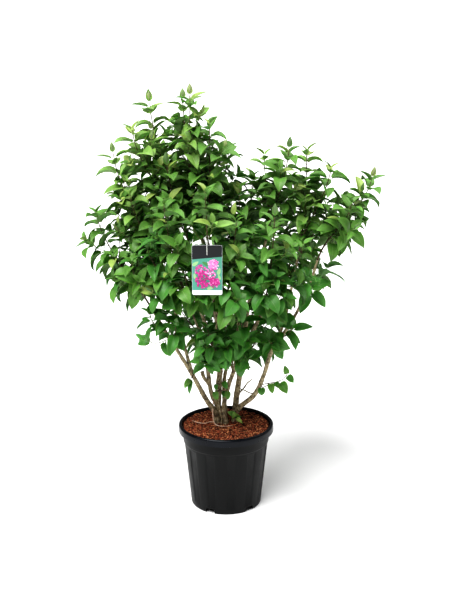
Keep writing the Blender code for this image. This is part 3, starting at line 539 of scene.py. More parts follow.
def limb_radii(name, path):
    """The limb's taper with a flared root and a slight swelling at each pair of old leaf scars."""
    first, last = LIMBS[name].radii
    flare = STEM_FLARE if LIMBS[name].parent is None else BOUGH_FLARE
    length = path_length(path)
    radii, gone = [], 0.0
    for number, place in enumerate(path):
        if number:
            gone += (place - path[number - 1]).length
        share = gone / length
        radius = SLIMMER * (first + (last - first) * share**TAPER)
        scar = abs((gone / NODE_SPACING) % 1 - 0.5) * NODE_SPACING
        swell = SCAR_SWELL * math.exp(-(scar / SCAR_REACH)**2)
        radii.append(radius * (1 + flare * math.exp(-gone / FLARE_REACH) + swell))
    return radii


def roughen(shape, amount, along):
    """Lengthwise ridges and small knots: vertices move along their normals by stretched noise."""
    shape.normal_update()
    moves = []
    for vert in shape.verts:
        x, y, z = vert.co
        ridge = noise.noise(Vector((x * RIDGES, y * RIDGES, z * along)))
        knot = noise.noise(Vector((x * KNOTS, y * KNOTS, z * KNOT_RISE + 7)))
        moves.append((vert, vert.normal * amount * (RIDGE_SHARE * ridge + KNOT_SHARE * knot)))
    for vert, move in moves:
        vert.co += move


def root_material():
    """The skin of a root that has come to light: pale, pinkish brown and smooth."""
    return mottled_material("bare root", 240.0, ((0.35, "#c39a80"), (0.65, "#ecd2bd")), relief=0.0004,
                            roughness=0.7, ior=1.45)


def bark_material():
    """Young lilac bark: smooth and grey-brown, with fine lengthwise cracks and pale corky pores."""
    made, tree, shader = new_material("lilac bark", roughness=0.82, ior=1.45)
    place = object_place(tree)
    stretch = add_node(tree, "ShaderNodeMapping", {"Vector": place, "Scale": (1, 1, 0.22)})
    stretched = stretch.outputs["Vector"]
    # cracks about 2 mm apart and several times as long, drawn a little coarse so that they show
    cracks = mottle(tree, stretched, 420.0, detail=4.0, roughness=0.65)
    patches = mottle(tree, place, 60.0)
    pores = add_node(tree, "ShaderNodeTexVoronoi", {"Vector": stretched, "Scale": 240.0})
    body = colour_ramp(tree, cracks, ((0.34, "#60543f"), (0.5, "#b4a88d"), (0.66, "#dad3be")))
    tone = colour_ramp(tree, patches, ((0.36, "#6e655a"), (0.50, "#e2dac8"), (0.7, "#fffaf0")))
    clouded = blended(tree, 0.75, body, tone, blend_type="MULTIPLY")
    pore = map_range(tree, pores.outputs["Distance"], 0.10, 0.22, 0.55, 0.0)
    paint(tree, shader, blended(tree, pore, clouded, linear("#b9a88c")))
    bump(tree, shader, cracks, 0.0012)
    return made


def build_limbs(bark):
    for name in LIMBS:
        path = even_path(limb_path(name), LIMB_STEP)
        shape = tubes(name, [(path, limb_radii(name, path))], BARK_SIDES)
        roughen(shape, amount=0.0011, along=60)
        add_piece(f"bark_{name}", shape, [bark], [name])


ROOTLET = 4  # the thin stem that is a root come to light
ROOT_RISE, ROOT_RADIUS, ROOT_LOSS = 0.0022, 0.0026, 0.0010  # of the root on the mulch


def build_thin_stems(bark, root):
    """Suckers, a dead snag and side branches too thin to be limbs of their own."""
    for number, (points, first, last) in enumerate(THIN_STEMS):
        path = even_path(smooth_path(metres(points), 8), step=0.005)
        shape = tubes("thin_stem", [(path, taper((first, last), len(path)))], sides=9)
        roughen(shape, amount=0.0006, along=90)
        add_piece(f"thin_stem_{number}", shape, [root if number == ROOTLET else bark])


def build_surface_root(root):
    height = SOIL_TOP + ROOT_RISE
    path = even_path(smooth_path([(x, y, height) for x, y in metres(SURFACE_ROOT)], 8), step=0.003)
    radii = [ROOT_RADIUS - ROOT_LOSS * number / len(path) for number in range(len(path))]
    shape = tubes("surface_root", [(path, radii)], sides=10)
    roughen(shape, amount=0.0004, along=260)
    add_piece("root_runner", shape, [root], ["surface_root"])


# ---------------------------------------------------------------- leaves

# A blade's outline: share of its length and half width there, from the base to the tip.
BLADE_ROWS = ((0.0, 0.46), (0.09, 0.87), (0.27, 1.0), (0.49, 0.91), (0.70, 0.63), (0.87, 0.27),
              (1.0, 0.0))
BLADE_COLUMNS = 4
LOBE = {0: 0.0, 1: -0.055, 2: -0.030}  # the base's two lobes reach back past the stalk
BLADE_THICKNESS = 0.0005
SWELL = 0.035  # each half's arch across, as shares of the blade's length like the stalk's sizes
RIPPLES, RIPPLE_SHIFT = 7.5, 2.1  # waves along the edge, out of step on the two sides
STALK, STALK_OVERLAP = 0.24, 0.03
STALK_FOOT, STALK_TIP = 0.016, 0.012  # half its thickness
BEND_SHARE = 0.4  # a blade rises over this share of its arch and droops over the rest


def on_arch(share, bend):
    """The place along a midrib that arches by this angle over its unit length, and the normal there."""
    bend = bend or 0.001
    angle = bend * (BEND_SHARE - share)
    place = Vector((0, (math.sin(BEND_SHARE * bend) - math.sin(angle)) / bend,
                    (math.cos(angle) - math.cos(BEND_SHARE * bend)) / bend))
    return place, Vector((0, -math.sin(angle), math.cos(angle)))


def leaf_template(name, width, fold, bend, wave, hang, twist):
    """A heart-shaped blade of unit length on its stalk, as a closed shell of a few dozen faces.

    The stalk's root is the origin and the blade points along +Y. Faces of the underside take the
    second material.
    """
    shape = bmesh.new()
    bmesh.ops.create_grid(shape, x_segments=BLADE_COLUMNS, y_segments=len(BLADE_ROWS) - 1, size=1)
    uv = shape.loops.layers.uv.new("leaf")
    for face in shape.faces:
        for loop in face.loops:
            loop[uv].uv = ((loop.vert.co.x + 1) / 2, (loop.vert.co.y + 1) / 2)
    for vert in shape.verts:
        column = vert.co.x
        row = round((vert.co.y + 1) / 2 * (len(BLADE_ROWS) - 1))
        share, half = BLADE_ROWS[row]
        out = abs(column) * half * width / 2
        lobe = LOBE[round(abs(column) * 2)] if row == 0 else 0
        place, up = on_arch(share + lobe, bend)
        swell = SWELL * (1 - (2 * abs(column) - 1)**2) * half
        ripple = wave * math.sin(RIPPLES * share + RIPPLE_SHIFT * (column > 0)) * column**2 * half
        rise = out * math.sin(fold) + swell + ripple + twist * out * math.copysign(1, column) * share
        vert.co = place + up * rise + Vector((math.copysign(out * math.cos(fold), column), 0, 0))
    bmesh.ops.remove_doubles(shape, verts=shape.verts, dist=0.0001)
    if sum(face.normal.z for face in shape.faces) < 0:
        bmesh.ops.reverse_faces(shape, faces=shape.faces)
    for edge in shape.edges:
        edge.smooth = not edge.is_boundary
    under = bmesh.ops.duplicate(shape, geom=[*shape.verts, *shape.edges, *shape.faces])["geom"]
    lower_faces = [item for item in under if isinstance(item, bmesh.types.BMFace)]
    for item in under:
        if isinstance(item, bmesh.types.BMVert) and not item.is_boundary:
            item.co.z -= BLADE_THICKNESS / LEAF_LENGTH
    bmesh.ops.reverse_faces(shape, faces=lower_faces)
    for face in lower_faces:
        face.material_index = 1
    bmesh.ops.remove_doubles(shape, verts=shape.verts, dist=0.00001)
    stalk_root = Vector((0, -STALK * math.cos(hang), -STALK * math.sin(hang)))
    stalk = bmesh.ops.create_cone(shape, segments=4, radius1=STALK_FOOT, radius2=STALK_TIP, depth=1,
                                  cap_ends=True)
    turn = UP.rotation_difference(-stalk_root).to_matrix().to_4x4()
    length = Matrix.Diagonal((1, 1, stalk_root.length + STALK_OVERLAP, 1))
    middle = Matrix.Translation(stalk_root / 2 + Vector((0, 0.012, -0.006)))
    bmesh.ops.transform(shape, matrix=middle @ turn @ length, verts=stalk["verts"])
    for face in {face for vert in stalk["verts"] for face in vert.link_faces}:
        for loop in face.loops:
            loop[uv].uv = (0.5, 0.02)
    bmesh.ops.translate(shape, vec=-stalk_root, verts=shape.verts)
    return to_mesh(name, shape)


# Kinds of leaf: how many shapes, then the least and most of width, fold, bend, wave, hang and twist.
KINDS = {
    "bud": (3, (0.58, 0.66), (0.40, 0.55), (-0.95, -0.75), (0.0, 0.01), (0.0, 0.1), (-0.05, 0.05)),
    "young": (6, (0.56, 0.66), (0.25, 0.70), (0.30, 0.85), (0.0, 0.02), (0.1, 0.5), (-0.15, 0.15)),
    "grown": (14, (0.66, 0.82), (0.10, 0.70), (0.60, 1.60), (0.0, 0.045), (0.1, 0.9), (-0.25, 0.25)),
}


def leaf_templates(chance):
    """The shapes of each kind: pressed pairs at tips, folded young leaves and arching grown ones."""
    return {kind: [leaf_template(f"{kind}_{number}", *(chance.uniform(*span) for span in spans))
                   for number in range(count)]
            for kind, (count, *spans) in KINDS.items()}


def leaf_material(name, skin, veins, roughness):
    """A living leaf: a satin waxy skin over soft green that lets light through, and paler veins."""
    made, tree, shader = new_material(name, roughness=roughness, ior=1.42, specular_ior_level=0.5,
                                      subsurface_weight=0.12, subsurface_scale=0.003)
    shader.inputs["Subsurface Radius"].default_value = (0.35, 1.0, 0.12)
    across = add_node(tree, "ShaderNodeUVMap", uv_map="leaf").outputs["UV"]
    parts = add_node(tree, "ShaderNodeSeparateXYZ", {"Vector": across}).outputs
    side = maths(tree, "ABSOLUTE", maths(tree, "SUBTRACT", parts["X"], 0.5))
    # side veins leave the midrib at about 45 degrees, some seven a side
    slant = maths(tree, "MULTIPLY_ADD", side, -1.1, parts["Y"])
    cycle = maths(tree, "PINGPONG", maths(tree, "MULTIPLY", slant, 7.0), 0.5)
    vein = map_range(tree, cycle, 0.0, 0.09, 0.42, 0.0)
    rib = map_range(tree, side, 0.008, 0.03, 0.85, 0.0)
    lines = maths(tree, "MAXIMUM", vein, rib)
    body = uneven(tree, skin, scale=22.0, detail=2.0, dark=0.80, pale=1.30)
    paint(tree, shader, blended(tree, lines, body, linear(veins)))
    bump(tree, shader, maths(tree, "SUBTRACT", 1.0, lines), 0.0006, 0.5)
    return made


# Tints: the upper side, its veins, the underside and its veins.
# The light and deep tints are dealt out mostly by height, so besides the leaves' own colour they hold
# painted light high up and painted shade low down and inside.
TINTS = {
    "young": ("#8fa55b", "#abb97c", "#92a36d", "#b2be93"),
    "light": ("#7b9f53", "#9cb477", "#829b67", "#a4b48d"),
    "mid": ("#5d863f", "#7e9e5d", "#6b8856", "#8fa47c"),
    "deep": ("#4b7d3a", "#678f52", "#5e8150", "#829b74"),
}


# ---------------------------------------------------------------- growth

def leader_path(start, direction, end):
    """A twig that leaves along a direction and ends upright."""
    reach = (end - start).length
    upright = (UP + LEADER_LEAN * (end - start).normalized()).normalized()
    handle = reach * LEADER_HANDLE
    a, b, c, d = start, start + direction * handle, end - upright * handle, end
    steps = max(4, round(reach / LEADER_STEP))
    path = []
    for step in range(steps + 1):
        t = step / steps
        path.append(a * (1 - t)**3 + 3 * b * t * (1 - t)**2 + 3 * c * t**2 * (1 - t) + d * t**3)
    return path


def leader_twigs(name):
    """The stem of a mass and the other leading twigs, which fork from it low down."""
    mass = MASSES[name]
    axis = limb_path(mass.limb)
    start, direction = point_along(axis, mass.at)
    ends = metres(mass.leaders)
    if mass.at < 1:
        direction = (sum(ends, Vector()) / len(ends) - start).normalized()
    paths = [[start, *leader_path(start + direction * SQUARE_START, direction, ends[0])]]
    for end in ends[1:]:
        fork, along = point_along(paths[0], FORK_DISTANCE / (ends[0] - start).length)
        paths.append(leader_path(fork, (along + (end - fork).normalized()).normalized(), end))
    twigs = []
    for number, path in enumerate(paths):
        share = 1 - FORK_SLIMMER * number
        first = SPRIG_RADIUS if name.startswith("sprig") else LEADER_RADII[0] * share
        twigs.append(Twig(path, taper((first, LEADER_RADII[1]), len(path)), True))
    return twigs


def side_shoot(root, along, turn, reach):
    """A shoot that leaves a leader at an angle and bends upwards."""
    way = along * math.cos(SHOOT_ANGLE) + sideways(along, turn) * math.sin(SHOOT_ANGLE)
    middle = root + way * reach * SHOOT_BEND
    end = middle + (way + SHOOT_RISE * UP).normalized() * reach * (1 - SHOOT_BEND)
    path = smooth_path([root, middle, end], 3)
    return Twig(path, taper(SHOOT_RADII, len(path)), False)


def grow_shoots(name, leaders, crown, space, chance):
    """The side shoots of a mass, shorter towards each leader's tip, where there is room for them."""
    shoots = []
    for leader in leaders:
        turn = chance.uniform(0, 2 * math.pi)
        length = path_length(leader.path)
        gone = FIRST_SHOOT + chance.uniform(0, SHOOT_SPACING)
        bare = BARE_TIP if leader.path[-1].z > LOW_TIP else LOW_BARE_TIP
        while gone < length - bare:
            share = gone / length
            root, along = point_along(leader.path, share)
            reach = MASSES[name].reach * chance.uniform(*SHOOT_REACH)
            reach *= REACH_AT_FOOT - REACH_LOSS * share
            for _ in range(SHOOT_TRIES):
                turn += SPIRAL
                shoot = side_shoot(root, along, turn, reach)
                sleeve = rod(shoot.path[2:], SHOOT_SLEEVE)
                if crown.is_own(name, shoot.path[-1], OWN_SPACE) and space.is_clear(*sleeve, None):
                    space.add(*sleeve, f"{name} {len(leaders) + len(shoots)}")
                    shoots.append(shoot)
                    break
            gone += SHOOT_SPACING * chance.uniform(*SHOOT_SPREAD)
    return shoots


CELL = 0.10  # the side of the cubes that the space is sorted into


class Space:
    """What is already there, so that nothing that grows later runs into it."""

    def __init__(self):
        self.cells = {}

    @staticmethod
    def keys(points):
        spans = [range(math.floor(min(parts) / CELL), math.floor(max(parts) / CELL) + 1)
                 for parts in zip(*points)]
        return list(itertools.product(*spans))

    def add(self, points, faces, owner):
        thing = (BVHTree.FromPolygons(points, faces), owner)
        for key in self.keys(points):
            self.cells.setdefault(key, []).append(thing)

    def is_clear(self, points, faces, skip):
        tree = BVHTree.FromPolygons(points, faces)
        seen = set()
        for key in self.keys(points):
            for thing in self.cells.get(key, ()):
                if id(thing) in seen or thing[1] == skip:
                    continue
                seen.add(id(thing))
                if tree.overlap(thing[0]):
                    return False
        return True


def rod(path, radius):
    """A coarse three-sided sleeve round a path, for the test of what touches what."""
    points, faces = [], []
    for number, place in enumerate(path):
        along = (path[min(number + 1, len(path) - 1)] - path[max(number - 1, 0)]).normalized()
        for corner in range(3):
            points.append(place + sideways(along, 2 * math.pi * corner / 3) * radius)
    for number in range(len(path) - 1):
        for corner in range(3):
            a, b = 3 * number + corner, 3 * number + (corner + 1) % 3
            faces += [(a, b, b + 3), (a, b + 3, a + 3)]
    return points, faces


def box_of(low, high):
    """A box as points and faces, for the same test."""
    points = [Vector(corner) for corner in itertools.product(*zip(low, high))]
    return points, [(0, 1, 3, 2), (4, 6, 7, 5), (0, 4, 5, 1), (2, 3, 7, 6), (0, 2, 6, 4), (1, 5, 7, 3)]


# A leaf as a few points, by its blade's length from its stalk's root.
BLADE_POINTS = ((0, 0.30, 0), (-0.33, 0.52, 0.10), (0, 0.52, 0.03), (0.33, 0.52, 0.10),
                (0, 0.92, -0.02), (0, 1.20, -0.14))


BLADE_TIP = Vector((0, 1.2, 0))


def blade_test(matrix):
    """The leaf as a few faces, for the same test."""
    points = [matrix @ Vector(place) for place in BLADE_POINTS]
    return points, [(0, 2, 1), (0, 3, 2), (1, 2, 4), (2, 3, 4), (1, 4, 5), (3, 5, 4)]


LIFTS = (86, 24, 16, 10)  # degrees that the pairs rise from square to the twig, from its tip down
OPEN_LIFT = 40  # of a pair at the tip that has opened
LIFT_SPREAD, WAY_SPREAD, FACE_SPREAD = 12, 0.16, 0.45  # how uneven leaves are
UPWARD = 0.8  # how much an old leaf's upper side turns to the sky
CLOSED_TIPS = (("foliage_left_peak", 0), ("foliage_left_peak", 1), ("foliage_left_shoulder", 0),
               ("foliage_right_reach", 0))
CLOSED_SHARE = 0.25


def leaf_frame(along, side, number, lift, sag, chance):
    """The direction in which a leaf points and its upper side: old leaves hang, young ones stand up."""
    age = min(1.0, number / 3)
    lift = math.radians(lift + LIFT_SPREAD * min(1, number) * chance.uniform(-1, 1))
    way = side * math.cos(lift) + along * math.sin(lift) - sag * age * UP
    way = (way + WAY_SPREAD * age * Vector([chance.uniform(-1, 1) for _ in range(3)])).normalized()
    inner = along * math.cos(lift) - side * math.sin(lift)
    above = inner + UPWARD * age * UP + FACE_SPREAD * age * way.cross(UP) * chance.uniform(-1, 1)
    return way, (above - above.dot(way) * way).normalized()


def leaf_matrix(point, way, above, length):
    """Where a leaf template goes: the root of its stalk, its two directions and its length."""
    across = way.cross(above).normalized()
    turn = Matrix((across, way, above)).transposed().to_4x4()
    return Matrix.Translation(point) @ turn @ Matrix.Scale(length, 4)


TIP_STEPS = (0.50, 0.65, 1.0)  # internodes from a twig's tip down, by the usual one


def leaf_nodes(twig, closed, chance):
    """The nodes of a twig, from its tip down: share of its length, number and turn of the pair."""
    length = path_length(twig.path)
    leafy, step = (0.72, INTERNODE) if twig.leader else (0.94, SHOOT_INTERNODE)
    nodes = []
    turn = chance.uniform(0, math.pi)
    if twig.leader:
        tip = point_along(twig.path, 1)[1]
        turn = min((0.1 * step for step in range(63)), key=lambda angle: sideways(tip, angle).y)
        if closed:
            turn += chance.uniform(-0.45, 0.45)
        else:
            turn += chance.uniform(0.9, 1.5) * chance.choice((-1, 1))
    back = 0.001
    while back < length * leafy or len(nodes) < 2:
        nodes.append((1 - back / length, len(nodes), turn))
        back += step * TIP_STEPS[min(2, len(nodes) - 1)] * chance.uniform(0.9, 1.1)
        turn += math.pi / 2
    return [node for node in nodes if node[0] > 0]


class Crown:
    """Leader points of each mass, to tell whose space a place is in."""

    def __init__(self, leaders):
        self.trees = {}
        for name, twigs in leaders.items():
            places = [place for twig in twigs for place in even_path(twig.path, step=0.03)]
            tree = KDTree(len(places))
            for number, place in enumerate(places):
                tree.insert(place, number)
            tree.balance()
            self.trees[name] = tree

    def is_own(self, name, place, spare):
        """Whether a place is nearer to this mass than to any other, or not much further."""
        own = self.trees[name].find(place)[2]
        return all(tree.find(place)[2] + spare > own
                   for other, tree in self.trees.items() if other != name)


# Where the sprays change tint, mostly by height: the pale tint high up holds painted light, and the
# deep tint low down and inside holds painted shade, besides the leaves' own colour.
CROWN_FOOT, CROWN_MIDDLE, CROWN_RADIUS = 0.55, 0.02, 0.45
LIGHT_FROM, MID_FROM, TINT_SPREAD = 0.78, 0.45, 0.20


def spray_tint_painted_light_and_shade(point, chance):
    """The tint of a spray: paler and yellower high up and outside, deep inside and low down, which is
    partly the leaves' own colour and partly painted light high up and painted shade inside and low
    down.
    """
    out = math.hypot(point.x - CROWN_MIDDLE, point.y) / CROWN_RADIUS
    value = 0.85 * (point.z - CROWN_FOOT) + 0.15 * out + chance.uniform(-TINT_SPREAD, TINT_SPREAD)
    return "light" if value > LIGHT_FROM else "mid" if value > MID_FROM else "deep"


# The young tint is the tips' own paler colour; that it grows commoner high up is partly painted light
# on the crown's top.
FRESH, FRESH_GAIN, FRESH_FROM = 0.05, 0.9, 1.05  # young tints at the tips, more of them high up


def grow(space):
    """All twigs, and the leaves as (template kind, tint, matrix)."""
    leaders = {name: leader_twigs(name) for name in MASSES}
    crown = Crown(leaders)
    tag_low, tag_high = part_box("tag")
    room = (Vector((tag_low.x - SIGHT_MARGIN, tag_low.y, TAG_TOP - TAG_HEIGHT - TAG_MARGIN)),
            Vector((tag_high.x + SIGHT_MARGIN, tag_low.y, TAG_TOP + SIGHT_HEADROOM)))
    twigs, leaves = [], []
    for name, own in leaders.items():
        for number, twig in enumerate(own):
            space.add(*rod(twig.path, LEADER_SLEEVE), f"{name} {number}")
            twigs.append(twig)
    sprays = {}
    for name, own in leaders.items():
        chance = random.Random(f"{name} twigs")
        sprays[name] = list(own)
        if name.startswith("sprig"):
            continue
        shoots = grow_shoots(name, own, crown, space, chance)
        sprays[name] += shoots
        twigs += shoots
    for name, own in sprays.items():
        chance = random.Random(f"{name} leaves")
        if name in SPRIG_LEAVES:
            leaves += sprig_leaves(name, own)
            continue
        for order, twig in enumerate(own):
            tint = spray_tint_painted_light_and_shade(twig.path[-1], chance)
            closed = (name, order) in CLOSED_TIPS or chance.random() < CLOSED_SHARE
            for share, number, turn in leaf_nodes(twig, closed, chance):
                lift = OPEN_LIFT if number == 0 and not closed else LIFTS[min(3, number)]
                point, along = point_along(twig.path, share)
                side = sideways(along, turn)
                fresh_share = FRESH + FRESH_GAIN * max(0, point.z - FRESH_FROM)
                for facing in (side, -side):
                    leaf = placed_leaf(name, order, point, along, facing, number, lift, space, crown,
                                       room, chance)
                    if leaf:
                        kind = ("bud" if closed else "young", "young", "grown")[min(2, number)]
                        fresh = number < 2 and chance.random() < fresh_share
                        leaves.append((kind, "young" if fresh else tint, leaf))
    return twigs, leaves


TOWARDS_LIGHT = Vector((-0.1, -0.8, 0.6))


def sprig_leaves(name, twigs):
    """The leaves of a sprig, each hung from its own place."""
    made = []
    for number, share, tip, breadth, tint in SPRIG_LEAVES[name]:
        root = point_along(twigs[number].path, share)[0]
        way = metres([tip])[0] - root
        length = way.length / SPRIG_REACH
        way.normalize()
        above = (TOWARDS_LIGHT - TOWARDS_LIGHT.dot(way) * way).normalized()
        matrix = leaf_matrix(root, way, above, length)
        made.append(("grown", tint, matrix @ Matrix.Diagonal((breadth, 1, 1, 1))))
    return made


SIZES = (0.50, 0.80, 0.95, 1.0)  # of the pairs from a twig's tip down
SIZE_SPREAD = (0.72, 1.12)
SAG, LOW_SAG, SAG_FROM, SAG_OVER = 0.08, 0.80, 1.20, 0.6  # leaves hang more the lower they are


def hem(place):
    """The height of the crown's lower edge here."""
    return (HEM + HEM_SLOPE * max(0, -place.y) + HEM_RAGGED * noise.noise(place * HEM_RAGS)
            + min(HEM_SIDE_MOST, HEM_SIDE_SLOPE * max(0, HEM_LEFT - place.x, place.x - HEM_RIGHT)))


def hides_tag(place, room):
    """Whether a place lies in the room that is kept open ahead of the tag and slopes up from it."""
    low, high = room
    ahead = low.y - place.y
    return ahead > 0 and low.x < place.x < high.x and low.z < place.z - SIGHT_SLOPE * ahead < high.z


def placed_leaf(name, order, point, along, facing, number, lift, space, crown, room, chance):
    """A leaf at a node, by the first try that keeps to its space and touches nothing, or None."""
    for _ in range(TRIES):
        sag = SAG + LOW_SAG * max(0.0, min(1.0, (SAG_FROM - point.z) / SAG_OVER))
        way, above = leaf_frame(along, facing, number, lift, sag, chance)
        length = LEAF_LENGTH * SIZES[min(3, number)] * chance.uniform(*SIZE_SPREAD)
        matrix = leaf_matrix(point, way, above, length)
        tip = matrix @ BLADE_TIP
        if tip.z < hem(tip) or not crown.is_own(name, tip, OWN_SPACE):
            continue
        if any(hides_tag(matrix @ Vector(place), room) for place in BLADE_POINTS):
            continue
        test = blade_test(matrix)
        if space.is_clear(*test, f"{name} {order}"):
            space.add(*test, "leaf" if number else f"{name} {order}")
            return matrix
    return None


def build_foliage(space):
    twigs, leaves = grow(space)
    masses = list(MASSES)
    thick = tubes("leading_twigs", [twig[:2] for twig in twigs if twig.leader], sides=7)
    thin = tubes("side_shoots", [twig[:2] for twig in twigs if not twig.leader], sides=5)
    add_piece("leading_twigs", thick, [twig_material()], masses)
    add_piece("side_shoots", thin, [green_wood()], masses)
    chance = random.Random("templates")
    picked = leaf_templates(chance)
    for tint, (skin, veins, under_skin, under_veins) in TINTS.items():
        shape = bmesh.new()
        for kind, leaf_tint, matrix in leaves:
            if leaf_tint == tint:
                mesh = chance.choice(picked[kind]).copy()
                mesh.transform(matrix)
                merge_in(shape, mesh)
        upper = leaf_material(f"lilac leaf, {tint}", skin, veins, 0.46)
        under = leaf_material(f"lilac leaf underside, {tint}", under_skin, under_veins, 0.66)
        add_piece(f"leaves_{tint}", shape, [upper, under], masses)


def twig_material():
    """Last year's wood: thin dark bark with a dull sheen."""
    return mottled_material("twig bark", 180.0, ((0.3, "#3c3226"), (0.7, "#7b6a50")), relief=0.0006,
                            roughness=0.6, ior=1.45)


def green_wood():
    """This year's shoots: smooth green skin, browning in places."""
    return mottled_material("green shoot", 30.0, ((0.35, "#5c5a34"), (0.65, "#64733a")), detail=2.0,
                            roughness=0.5, ior=1.42)


# ---------------------------------------------------------------- the pot

POT_SEGMENTS = 144  # twelve to each flute and its rib
COLLAR_FOOT = (0.1590, 0.2460)
RIM_FOOT = 0.289
FLUTE_HALF_ANGLE, FLUTE_SLOPE = math.radians(7.4), 0.0040
SHARP = math.radians(38)  # edges that turn more than this are drawn sharp
NOTCH_DEPTH, NOTCH_CORNER = 0.020, 0.005


def pot_material(name, tones, roughness):
    """Blow-moulded recycled polypropylene: near black, with a soft and slightly uneven sheen."""
    made, tree, shader = new_material(name, ior=1.49, specular_ior_level=0.30)
    place = object_place(tree)
    cloud = mottle(tree, place, 14.0)
    paint(tree, shader, colour_ramp(tree, cloud, ((0.3, tones[0]), (0.7, tones[1]))))
    tree.links.new(map_range(tree, cloud, 0.3, 0.7, *roughness), shader.inputs["Roughness"])
    bump(tree, shader, mottle(tree, place, 900.0, detail=2.0), 0.0003, 0.4)
    return made


def pot_profile():
    """Radius and height of the pot's wall, from inside the lip over it and down the outside."""
    slope = (POT_SHOULDER[0] - POT_FOOT_RADIUS) / POT_SHOULDER[1]
    taper_out = (COLLAR_FOOT[0] - POT_FOOT_RADIUS) / COLLAR_FOOT[1]
    on_wall = [(POT_FOOT_RADIUS + taper_out * z, z) for z in (FLUTE_TOP, FLUTE_FOOT)]
    pad, floor = PAD_RADIUS - POT_WALL, FLOOR_RISE + POT_WALL
    inside = [(0, POT_WALL), (pad, POT_WALL), (pad, floor),
              (POT_FOOT_RADIUS + slope * floor - POT_WALL, floor),
              (POT_SHOULDER[0] - POT_WALL, POT_SHOULDER[1]), (0.1650, 0.302)]
    lip = [(0.1662, 0.3120), (0.1672, 0.3150), (0.1690, 0.3172), (0.1712, 0.3180), (0.1738, 0.3180),
           (0.1765, 0.3170), (0.1786, 0.3148), (0.1797, 0.3115), (0.1800, 0.3070), (0.1800, 0.2925),
           (0.1796, 0.2905), (0.1785, 0.2900), (0.1772, 0.2903), (0.1765, 0.2915), (0.1758, 0.3030),
           (0.1745, 0.3095), (0.1715, 0.3105)]
    outside = [(0.1690, 0.3020), (0.1655, 0.2960), (0.1642, 0.2900), (0.1630, 0.2640), (0.1624, 0.2530),
               (0.1618, 0.2508), (0.1606, 0.2494), (0.1596, 0.2482), COLLAR_FOOT]
    foot = [(POT_FOOT_RADIUS + 0.0006, 0.006), (POT_FOOT_RADIUS, 0.0015), (POT_FOOT_RADIUS - 0.0012, 0),
            (POT_FOOT_RADIUS - POT_WALL + 0.0008, 0), (POT_FOOT_RADIUS - POT_WALL, 0.0012),
            (POT_FOOT_RADIUS - POT_WALL, FLOOR_RISE), (PAD_RADIUS, FLOOR_RISE), (PAD_RADIUS, 0.001),
            (PAD_RADIUS - 0.001, 0), (0, 0)]
    return inside + lip + outside + on_wall + foot


def build_pot():
    """The container, with flutes sunk in its wall."""
    shape = turned(pot_profile(), POT_SEGMENTS, FLUTE_PHASE - math.pi / 2 - math.pi / FLUTES)
    for number in range(FLUTES):
        middle = FLUTE_PHASE - math.pi / 2 + number * 2 * math.pi / FLUTES
        sunk = []
        for face in shape.faces:
            spot = face.calc_center_median()
            away = (math.atan2(spot.y, spot.x) - middle + math.pi) % (2 * math.pi) - math.pi
            outside = face.normal.dot(Vector((spot.x, spot.y, 0))) > 0
            if outside and FLUTE_FOOT < spot.z < FLUTE_TOP and abs(away) < FLUTE_HALF_ANGLE:
                sunk.append(face)
        bmesh.ops.inset_region(shape, faces=sunk, thickness=FLUTE_SLOPE, depth=-FLUTE_DEPTH,
                               use_even_offset=True)
    for edge in shape.edges:
        edge.smooth = edge.calc_face_angle(0) < SHARP
    for face in shape.faces:
        face.material_index = int(face.calc_center_median().z > RIM_FOOT)
    wall = pot_material("black polypropylene", ("#0e0f10", "#131414"), (0.36, 0.50))
    # The rim is glossier than the wall, and its bluish tones are painted sheen: a bluish reflection
    # laid into its base colour.
    rim = pot_material("black polypropylene, glossy rim with painted bluish sheen", ("#0c0f14", "#14181f"), (0.22, 0.34))
    return add_piece("nursery_pot", shape, [wall, rim], ["pot"])


def cut_notches(pot):
    """Drainage notches through the foot ring, with round upper corners."""
    for turn in NOTCH_TURNS:
        shape = block((NOTCH_DEPTH, NOTCH_WIDTH, 2 * NOTCH_HEIGHT))
        upper = [edge for edge in edges_along(shape, 0) if edge.verts[0].co.z > 0]
        round_edges(shape, upper, NOTCH_CORNER, segments=3)
        bmesh.ops.translate(shape, vec=(POT_FOOT_RADIUS, 0, 0), verts=shape.verts)
        way_round = Matrix.Rotation(math.radians(turn - 90), 4, "Z")
        bmesh.ops.transform(shape, matrix=way_round, verts=shape.verts)
        cut(pot, shape)


# ---------------------------------------------------------------- mulch

# Each kind of chip: its dark and pale tones and its share of the pile.
MULCH = {
    "rust": (("#7a412b", "#b06242"), 0.42),
    "orange": (("#a96b44", "#dfa074"), 0.20),
    "brown": (("#3a1e14", "#6c3e29"), 0.38),
}
CHIPS = 5200
CHIP_REACH = 0.160  # how far out they lie
CHIP_LENGTH, LONG_SHARE, LONGER = (0.0035, 0.010), 0.12, 1.4
CHIP_BREADTH = (0.28, 0.6)  # by its length
CHIP_THICKNESS, CHIP_LIFT = (0.0012, 0.0026), 0.0030
CHIP_TILT = 0.35
CHIP_EDGE = 0.16  # by its size
BED_TOP, BED_STEP, BED_STEPS = 0.300, 0.0041, 40


def mulch_material(name, dark, pale):
    """Shredded pine bark: dull, fibrous and damp, in chips of their own colour."""
    return mottled_material(name, 350.0, ((0.3, dark), (0.7, pale)), relief=0.0008, roughness=0.86,
                            ior=1.45)


MULCH_RISE = 0.06  # the slope up to the wall
CHIPS_ON_TOP = 0.0035  # the bed lies this much lower, and the chips fill it up
BUMPS = ((42, 3, 0.0035), (120, 9, 0.0016))  # how many to the metre, the noise's layer and their height


def soil_height(x, y):
    """The crumbly top of the mulch's bed: level in the middle and a little higher against the wall."""
    rise = max(0, math.hypot(x, y) - SOIL_LEVEL_RADIUS) * MULCH_RISE
    bumps = sum(noise.noise(Vector((x * scale, y * scale, layer))) * height
                for scale, layer, height in BUMPS)
    return SOIL_TOP + rise - CHIPS_ON_TOP + bumps


def in_disc(radius, chance):
    """A place in a disc, as likely in one part of it as in another."""
    away, angle = radius * math.sqrt(chance.random()), chance.uniform(0, 2 * math.pi)
    return away * math.cos(angle), away * math.sin(angle)


